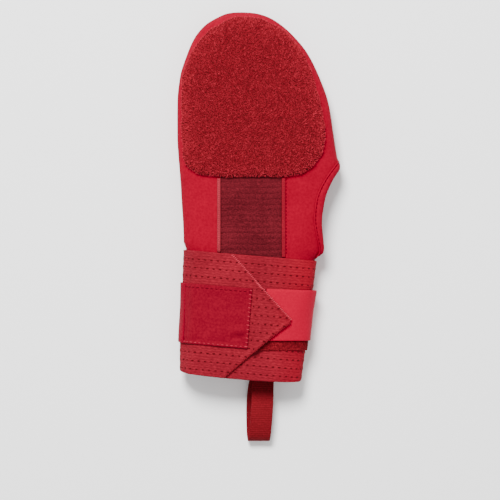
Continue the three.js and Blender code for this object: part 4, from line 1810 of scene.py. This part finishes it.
def edge_shares(width: float, step: float, radius: float) -> np.ndarray:
    """Shares across a strip, close together at both edges where the cloth rounds off.

    Args:
        width: The strip's width.
        step: From one share to the next, in its middle.
        radius: The edges' radius.

    Returns:
        Shares from 0 to 1.
    """
    near = np.array([0, 0.08, 0.25, 0.55, 1.0]) * radius / width
    middle = np.linspace(near[-1], 1 - near[-1], max(3, round(width / step)))
    return np.concatenate([near[:-1], middle, 1 - near[-2::-1]])


@dataclass
class WoundStrip:
    """A strip of cloth wound about the cuff between an upper and a lower edge.
    """

    name: str
    start: float
    end: float
    cloth: float
    top: Curve
    bottom: Curve
    lift: Curve
    step: float = 2.0
    turn_step: float = 1.3
    radius: float = 0.55
    middle: float = 220.0
    rests_on: str = ""
    held: str = "stretched"

    def build(
        self, tools: Tools, bulge: Callable[[np.ndarray, np.ndarray], np.ndarray] | None = None
    ) -> bpy.types.Object:
        """Makes the strip.

        Args:
            tools: What the piece is made with.
            bulge: How much higher the outer face lies at each angle and distance.

        Returns:
            The strip's object, with the length round the cuff and the distance down as its chart.
        """
        form = tools.form
        turns = np.linspace(self.start, self.end, round((self.end - self.start) / self.turn_step) + 1)
        # Points lie close together at both ends, where the cloth rounds off.
        close = np.array([0.1, 0.3, 0.7])
        turns = np.unique(np.concatenate([turns, self.start + close, self.end - close]))
        top, bottom = self.top(turns)[:, None], self.bottom(turns)[:, None]
        shares = edge_shares(float((bottom - top).max()), self.step, self.radius)
        down = top + (bottom - top) * shares
        around = np.broadcast_to(turns[:, None], down.shape)
        run = run_along(form.raised(turns, np.full_like(turns, self.middle), self.lift(turns)))
        drop = rounded_edge(down - top, bottom - top, self.radius)
        ends = rounded_edge(run, run[-1], self.radius)[:, None]
        lift = self.lift(turns)[:, None]
        extra = bulge(around, down) if bulge else 0.0
        upper = form.raised(around, down, lift + self.cloth - np.maximum(drop, ends) + extra)
        lower = form.raised(around, down, lift + np.minimum(extra, 0) + np.zeros_like(down))
        chart = np.stack([np.broadcast_to(run[:, None], down.shape), down], axis=-1)
        strip = tools.shop.slab(self.name, upper, lower, chart)
        return strip


@dataclass
class CuffWrap:
    """The wide heathered wrap: once round the cuff, ending in a point over its own start."""

    form: MittForm
    layers: CuffLayers
    base_side: float = -3.5
    point_side: float = 40.3
    blunt: float = 3.5
    row_first: float = 183.0
    row_pitch: float = 6.1
    rows: int = 14
    edge_clear: float = 2.2
    rolled: float = 0.85
    dash: Stitch = Stitch(pitch=4.6, length=2.2, width=1.15, height=0.26, wander=0.1, seed=3)
    edging: Stitch = Stitch(pitch=1.3, length=2.3, width=0.8, height=0.6, turn=62.0, wander=0.35, seed=6)
    binding: Stitch = Stitch(pitch=1.35, length=2.4, width=0.92, height=0.6, turn=62.0, wander=0.35, seed=5)

    def tab(self) -> tuple[float, float]:
        """Finds the wrap's point.

        Returns:
            The angles where the point's taper begins and where the point ends.
        """
        form = self.form
        middle = np.float64((form.cuff_top + form.cuff_bottom) / 2)
        sides = np.float64(self.base_side), np.float64(self.point_side)
        base, point = (form.palm_around(side, middle) for side in sides)
        return float(FULL_TURN + base), float(FULL_TURN + point)

    def share(self, around: np.ndarray) -> np.ndarray:
        """How much of the wrap's full width is left.

        Args:
            around: Angles about the hand.

        Returns:
            The share at each angle, from 1 down to the point's blunt end.
        """
        form = self.form
        middle = (form.cuff_top + form.cuff_bottom) / 2
        centre, half, _, _ = form.section(np.full_like(around, middle))
        turn = np.radians(90 - (around - FULL_TURN))
        power = form.palm_power
        reach = (np.abs(np.cos(turn)) ** power + np.abs(np.sin(turn)) ** power) ** (-1 / power)
        side = centre + half * reach * np.cos(turn)
        blunt = self.blunt / (form.cuff_bottom - form.cuff_top)
        taper = np.clip((side - self.base_side) / (self.point_side - self.base_side), 0, 1)
        return np.where(around > self.tab()[0], 1 + (blunt - 1) * taper, 1.0)

    def edges(self, around: np.ndarray) -> tuple[np.ndarray, np.ndarray]:
        """The wrap's two edges.

        Args:
            around: Angles about the hand.

        Returns:
            The distances down to the upper and to the lower edge.
        """
        top = self.form.cuff_top
        hem = self.layers.hem(self.form, around)
        middle = (top + hem) / 2
        half = (hem - top) / 2 * self.share(around)
        return middle - half, middle + half

    def bulge(self, around: np.ndarray, down: np.ndarray) -> np.ndarray:
        """Soft waves in the wrap's outer face, and the rolled edges of its point.

        Args:
            around: Angles about the hand.
            down: Distances from the fingertips.

        Returns:
            How much higher the face lies at each place.
        """
        rows = 0.1 * np.cos((down - self.row_first) * math.tau / self.row_pitch)
        waves = 0.16 * np.sin(np.radians(around) * 9 + down / 17)
        waves += 0.25 * np.sin(np.radians(around) * 5 + down / 11 + 1) * smooth_step(down, 225, 250)
        top, bottom = self.edges(around)
        inside = np.minimum(down - top, bottom - down)
        base = self.tab()[0]
        rolled = self.rolled * bell(inside - self.edge_clear, 1.5) * smooth_step(around, base - 1, base + 1)
        return -0.12 + (rows + waves) * smooth_step(around, -20, 10) + rolled

    def build(self, tools: Tools) -> list[bpy.types.Object]:
        """Makes the wrap, its rows of dashes and the overlock on its point.

        Args:
            tools: What the pieces are made with.

        Returns:
            The wrap and its threads.
        """
        layers = self.layers
        base, point = self.tab()
        strip = WoundStrip(
            "heathered_cuff_wrap",
            layers.wrap_start,
            point,
            layers.wrap,
            lambda around: self.edges(around)[0],
            lambda around: self.edges(around)[1],
            layers.wrap_lift,
            rests_on="neoprene_shell",
        )
        wrap = strip.build(tools, self.bulge)
        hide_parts("cuff_wrap")
        tools.dress(wrap, WRAP_KNIT)
        return [wrap, self.dashes(tools, point), *self.overlock(tools, base, point)]

    def outer(self, around: np.ndarray, down: np.ndarray) -> np.ndarray:
        """The height of the wrap's outer face over the shell."""
        return self.layers.wrap_lift(around) + self.layers.wrap + self.bulge(around, down)

    def dashes(self, tools: Tools, point: float) -> bpy.types.Object:
        """Makes the rows of dark dashes that run round the wrap.

        Args:
            tools: What the piece is made with.
            point: The angle where the wrap's point ends.

        Returns:
            The dashes.
        """
        lines = []
        for row in range(self.rows):
            down = self.row_first + self.row_pitch * row
            around = np.arange(self.layers.wrap_start + 3, point, 0.7)
            top, bottom = self.edges(around)
            inside = (down > top + self.edge_clear) & (down < bottom - self.edge_clear)
            around = around[inside] + 0.5 * (row % 2)
            downs = np.full_like(around, down)
            if len(around) > 4:
                lines.append(line_over(self.form, around, downs, self.outer(around, downs) - 0.02))
        return tools.sew("wrap_dashes", lines, DARK_THREAD, self.dash)

    def overlock(self, tools: Tools, base: float, point: float) -> list[bpy.types.Object]:
        """Makes the overlock along the point's slanted edges, pale on the upper and tonal on the lower.

        Args:
            tools: What the pieces are made with.
            base: The angle where the point's taper begins.
            point: The angle where the point ends.

        Returns:
            The upper and the lower thread.
        """
        around = np.linspace(base + 0.3, point - 0.2, 160)
        top, bottom = self.edges(around)
        upper, lower = (
            line_over(self.form, around, downs, self.outer(around, downs) - 0.12)
            for downs in (top + 0.75, bottom - 0.75)
        )
        edging = tools.sew("point_edging", [lower], TONAL_THREAD, self.edging)
        overlock = tools.sew("point_overlock", [upper], PALE_THREAD, self.binding)
        return [overlock, edging]


@dataclass
class DrawnStrap:
    """The edges of the strap, which is drawn up towards the hand on the thumb side."""

    top: float = 200.7
    bottom: float = 239.0
    patch_bottom: float = 244.3
    patch_start: float = 297.0
    up_top: float = 2.4
    up_bottom: float = 4.0

    @staticmethod
    def drawn(around: np.ndarray, reach: float) -> np.ndarray:
        """How far an edge is drawn up at each angle."""
        return reach * np.sin(np.radians(np.clip(around, 0, 180)))

    def upper(self, around: np.ndarray) -> np.ndarray:
        """The distance down to the strap's upper edge."""
        return self.top - self.drawn(around, self.up_top)

    def lower(self, around: np.ndarray) -> np.ndarray:
        """The distance down to the strap's lower edge."""
        widened = (self.patch_bottom - self.bottom) * smooth_step(around, 180, self.patch_start)
        return self.bottom + widened - self.drawn(around, self.up_bottom)


@dataclass
class FastenerStrip:
    """The hook-and-loop strip that shows under the strap's lower edge, its darkness painted shade."""

    layers: CuffLayers
    strap: DrawnStrap
    top: float = 203.0
    bottom: float = 246.0
    shown_below: float = 232.0
    pile_room: float = 0.3
    pile: Pile = Pile(HOOK_PILE, HOOK_PILE, tufts=3.0, length=0.5, width=0.5, lean=3.0, clump=2.0, seed=11)

    def build(self, tools: Tools) -> list[bpy.types.Object]:
        """Makes the strip with its pile.

        Args:
            tools: What the piece is made with.

        Returns:
            The strip alone.
        """
        layers = self.layers
        lift = 2 * layers.clear + layers.wrap
        strip = WoundStrip(
            "hook_strip",
            layers.strip_start,
            layers.strip_end,
            layers.strip - self.pile_room,
            lambda around: np.full_like(around, self.top),
            lambda around: self.bottom - self.strap.drawn(around, self.strap.up_bottom),
            lambda around: np.full_like(around, lift),
            radius=0.3,
        ).build(tools)
        points = np.empty(len(strip.data.vertices) * 3)
        strip.data.vertices.foreach_get("co", points)
        shown = (points.reshape(-1, 3)[:, 1] / MM - tools.form.shift[1]) < -self.shown_below
        shown[len(shown) // 2 :] = False
        tools.grow(strip, self.pile, shown)
        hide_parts("fastener_strip")
        return [tools.dress(strip, HOOK_PILE)]


@dataclass
class CinchStrap:
    """The smooth strap round the cuff, and the stitched patch on its end."""

    layers: CuffLayers
    strap: DrawnStrap
    start: float = 17.0
    patch_end: float = 364.5
    clear: float = 0.6
    dent: float = 1.4
    ridge: float = 1.9
    edge_row: Stitch = Stitch(pitch=3.3, length=2.2, width=0.55, height=0.35, seed=13)
    top_row: Stitch = Stitch(pitch=3.3, length=2.4, width=0.6, height=0.4, seed=14)
    ladder: Stitch = Stitch(pitch=3.1, length=2.6, width=0.6, height=0.45, turn=80.0, seed=17)

    def build(self, tools: Tools) -> list[bpy.types.Object]:
        """Makes the strap, the patch and the patch's stitches.

        Args:
            tools: What the pieces are made with.

        Returns:
            The strap, the patch and the threads.
        """
        layers, edges = self.layers, self.strap
        band = WoundStrip(
            "smooth_strap",
            self.start,
            edges.patch_start - self.clear,
            layers.strap,
            edges.upper,
            edges.lower,
            layers.strap_lift,
            rests_on="heathered_cuff_wrap",
        ).build(tools, lambda around, down: -0.12 + 0.14 * np.sin(np.radians(around) * 11 + down / 9))
        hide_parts("cinch_strap")
        patch = WoundStrip(
            "stitched_patch",
            edges.patch_start,
            self.patch_end,
            layers.strap,
            edges.upper,
            edges.lower,
            layers.strap_lift,
            step=1.2,
            rests_on="heathered_cuff_wrap",
            held="laid",
        ).build(tools, self.pucker)
        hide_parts("strap_patch")
        return [
            tools.dress(band, STRAP_ELASTIC),
            tools.dress(patch, PATCH_CLOTH),
            *self.threads(tools),
        ]

    def pucker(self, around: np.ndarray, down: np.ndarray) -> np.ndarray:
        """The relief of the patch: a dent and a ridge by its lower corner, and furrows by its seams.

        Args:
            around: Angles about the hand.
            down: Distances from the fingertips.

        Returns:
            How much higher the outer face lies at each place.
        """
        past = around - 352
        dent = -self.dent * bell(np.hypot(past / 7.5, (down - 237.5 + past * 0.25) / 2.4), 1.0)
        ridge = self.ridge * bell(np.hypot((around - 357.5) / 5.0, (down - 232) / 3.6), 1.0)
        seam = -0.3 * bell(around - self.strap.patch_start - 7, 1.0)
        lower_row = 0.6 * bell(down - self.strap.lower(around) + 3.1, 0.8)
        upper_row = 0.35 * bell(down - self.strap.upper(around) - 1.2, 0.6)
        waves = 0.12 * np.sin(around / 5 + down / 11)
        return -0.1 + dent + ridge + seam + (-lower_row - upper_row) + waves

    def threads(self, tools: Tools) -> list[bpy.types.Object]:
        """Makes the lock stitches along the patch's edges and the ladder up its end.

        Args:
            tools: What the pieces are made with.

        Returns:
            The lower row, the upper row and the ladder.
        """
        form, edges, layers = tools.form, self.strap, self.layers

        def outer(around: np.ndarray, down: np.ndarray) -> np.ndarray:
            """The height of the patch's outer face over the shell."""
            return layers.strap_lift(around) + layers.strap + self.pucker(around, down)

        around = np.linspace(edges.patch_start + 2, self.patch_end - 2, 120)
        lower, upper = (
            line_over(form, around, downs, outer(around, downs) + 0.06)
            for downs in (edges.lower(around) - 1.3, edges.upper(around) + 2.6)
        )
        row = tools.sew("patch_stitches", [lower], PALE_THREAD, self.edge_row)
        top = tools.sew("patch_top_stitches", [upper], DARK_THREAD, self.top_row)
        first = float(edges.upper(around[-1:])[0]) + 1.5
        last = float(edges.lower(around[-1:])[0]) - 1.5
        down = np.linspace(first, last, 60)
        at_end = np.full_like(down, self.patch_end - 1.1)
        end_line = [line_over(form, at_end, down, outer(at_end, down) + 0.02)]
        ladder = tools.sew("patch_ladder", end_line, PALE_THREAD, self.ladder)
        return [row, top, ladder]


# The pull loop


def smooth_route(points: np.ndarray, count: int) -> np.ndarray:
    """Evenly spaced points on a centripetal curve through a route.

    Args:
        points: The route's points.
        count: How many points to give.

    Returns:
        The points.
    """
    ends = np.concatenate([[2 * points[0] - points[1]], points, [2 * points[-1] - points[-2]]])
    fine = []
    for a, b, c, d in zip(ends[:-3], ends[1:-2], ends[2:-1], ends[3:]):
        gaps = (b - a, c - b, d - c)
        ta, tb, tc = (max(float(np.linalg.norm(gap)), 1e-6) ** 0.5 for gap in gaps)
        start = ((b - a) / ta - (c - a) / (ta + tb) + (c - b) / tb) * tb
        end = ((c - b) / tb - (d - b) / (tb + tc) + (d - c) / tc) * tb
        t = np.linspace(0, 1, 40, endpoint=False)[:, None]
        cube = (2 * t**3 - 3 * t**2 + 1) * b + (t**3 - 2 * t**2 + t) * start
        fine.append(cube + (3 * t**2 - 2 * t**3) * c + (t**3 - t**2) * end)
    dense = np.concatenate([*fine, points[-1:]])
    run = run_along(dense)
    even = np.linspace(0, run[-1], count)
    return np.stack([np.interp(even, run, dense[:, axis]) for axis in range(3)], axis=1)


@dataclass(frozen=True)
class LoopPoint:
    """A point of the loop: how far past the hem, its height and its share of the skew."""

    past: float
    z: float
    skew: float


@dataclass
class PullLoop:
    """The webbing loop sewn inside the cuff's back."""

    width: float = 16.0
    cloth: float = 1.4
    drop: float = 49.5
    height: float = 13.5
    sewn: float = 11.0
    side: float = 16.6
    skew: float = 4.2
    radius: float = 0.5
    steps: int = 150

    def route(self, form: MittForm) -> np.ndarray:
        """The line that the webbing's middle follows.

        Args:
            form: The mitt's form.

        Returns:
            Points along it, from the upper sewn end to the lower one.
        """
        base = float(form.section(np.float64(form.cuff_bottom - form.shell_hem))[3]) + form.wall
        lower = base + 2 * form.clear + self.cloth / 2
        upper = lower + form.clear + self.cloth
        floor, crest = self.cloth / 2, self.height - self.cloth / 2
        fold = self.drop - self.cloth / 2
        points = (
            LoopPoint(-self.sewn, upper, 0),
            LoopPoint(-self.sewn / 3, upper, 0),
            LoopPoint(0.22 * fold, upper + (crest - upper) * 0.6, 0.05),
            LoopPoint(0.5 * fold, crest, 0.15),
            LoopPoint(0.78 * fold, floor + (crest - floor) * 0.93, 0.4),
            LoopPoint(0.95 * fold, floor + (crest - floor) * 0.75, 0.6),
            LoopPoint(fold, floor + (crest - floor) * 0.45, 0.75),
            LoopPoint(0.94 * fold, floor + (crest - floor) * 0.13, 0.9),
            LoopPoint(0.78 * fold, floor, 1),
            LoopPoint(0.5 * fold, floor + (lower - floor) * 0.2, 1),
            LoopPoint(0.2 * fold, floor + (lower - floor) * 0.75, 0.7),
            LoopPoint(-self.sewn / 3, lower, 0),
            LoopPoint(-self.sewn, lower, 0),
        )
        hem = float(form.hand_line(np.float64(form.cuff_bottom))[1])
        line = np.array([[self.side - self.skew * p.skew, hem - p.past, p.z] for p in points])
        return smooth_route(line, self.steps)

    def build(self, tools: Tools) -> list[bpy.types.Object]:
        """Makes the loop.

        Args:
            tools: What the piece is made with.

        Returns:
            The loop alone.
        """
        line = self.route(tools.form)
        tangent = np.gradient(line, axis=0)
        out = np.stack([np.zeros(len(line)), -tangent[:, 2], tangent[:, 1]], axis=1)
        out /= np.linalg.norm(out, axis=1, keepdims=True)
        shares = edge_shares(self.width, 1.0, self.radius)
        across = (shares - 0.5) * self.width
        drop = rounded_edge(shares * self.width, self.width, self.radius)
        middle = line[:, None, :] + np.array([1.0, 0, 0]) * across[None, :, None]
        half = (self.cloth / 2 - drop)[None, :, None]
        upper, lower = middle + out[:, None, :] * half, middle - out[:, None, :] * half
        grid = np.meshgrid(run_along(line), across, indexing="ij")
        loop = tools.shop.slab("webbing_loop", upper, lower, np.stack(grid, axis=-1))
        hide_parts("pull_loop")
        return [tools.dress(loop, WEBBING)]


# The studio


@dataclass(frozen=True)
class Lamp:
    """An area lamp: where it is, how wide, and how strong."""

    name: str
    place: tuple[float, float, float]
    size: float
    power: float


LAMPS = (
    Lamp("window_above_fingers", (-0.32, 0.97, 1.54), 0.7, 82.0),
    Lamp("fill_from_cuff", (0.3, -1.1, 1.6), 1.4, 9.0),
)


@dataclass
class Studio:
    """The pale floor, the soft lamps and the camera over the mitt."""

    camera_height: float = 1.8
    focus: tuple[float, float, float] = (-0.00673, -0.017, 0.018)
    image_width: float = 0.3639
    sensor: float = 36.0
    floor_half: float = 3.0
    room_light: float = 0.66

    def build(self) -> None:
        """Sets the floor, the lamps, the world and the camera."""
        # Matt white paper: no shine, and soft shadows show on it.
        white = bpy.data.materials.new("white paper")
        white.use_nodes = True
        shader = white.node_tree.nodes["Principled BSDF"]
        shader.inputs["Base Color"].default_value = linear("#fcfcfc")
        shader.inputs["Roughness"].default_value = 1.0
        shader.inputs["Specular IOR Level"].default_value = 0.0
        data = bpy.data.meshes.new("floor")
        half = self.floor_half
        corners = [(-half, -half, 0), (half, -half, 0), (half, half, 0), (-half, half, 0)]
        data.from_pydata(corners, [], [(0, 1, 2, 3)])
        data.materials.append(white)
        floor = bpy.data.objects.new("floor", data)
        bpy.context.scene.collection.objects.link(floor)
        for lamp in LAMPS:
            light = bpy.data.lights.new(lamp.name, "AREA")
            light.shape, light.size, light.energy = "DISK", lamp.size, lamp.power
            holder = bpy.data.objects.new(lamp.name, light)
            holder.location = lamp.place
            aim = Vector(self.focus) - Vector(lamp.place)
            holder.rotation_euler = aim.to_track_quat("-Z", "Y").to_euler()
            bpy.context.scene.collection.objects.link(holder)
        world = bpy.data.worlds.new("soft room")
        world.use_nodes = True
        background = world.node_tree.nodes["Background"]
        background.inputs["Color"].default_value = linear("#ffffff")
        background.inputs["Strength"].default_value = self.room_light
        bpy.context.scene.world = world
        camera = bpy.data.cameras.new("camera")
        camera.sensor_width = self.sensor
        camera.lens = self.sensor * (self.camera_height - self.focus[2]) / self.image_width
        camera.clip_start, camera.clip_end = 0.05, 20.0
        holder = bpy.data.objects.new("camera", camera)
        holder.location = (self.focus[0], self.focus[1], self.camera_height)
        bpy.context.scene.collection.objects.link(holder)
        bpy.context.scene.camera = holder


def main() -> None:
    """Builds the mitt's pieces in order and reports each one."""
    logging.basicConfig(level=logging.INFO, format="%(message)s")
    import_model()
    form = MittForm()
    tools = Tools(form, Workshop(form), Dyes(), stitch_tree(), pile_tree())
    hole, layers, strap = ThumbHole(), CuffLayers(), DrawnStrap()
    parts = (
        Shell(hole),
        ThumbHem(hole),
        PalmPad(),
        ElasticPanel(),
        SeamTapes(),
        CuffWrap(form, layers),
        FastenerStrip(layers, strap),
        CinchStrap(layers, strap),
        PullLoop(),
    )
    for part in parts:
        for piece in part.build(tools):
            LOG.info("%s: %s, %d faces", type(part).__name__, piece.name, len(piece.data.polygons))
    Studio().build()
    bpy.context.view_layer.update()


if __name__ == "__main__":
    main()
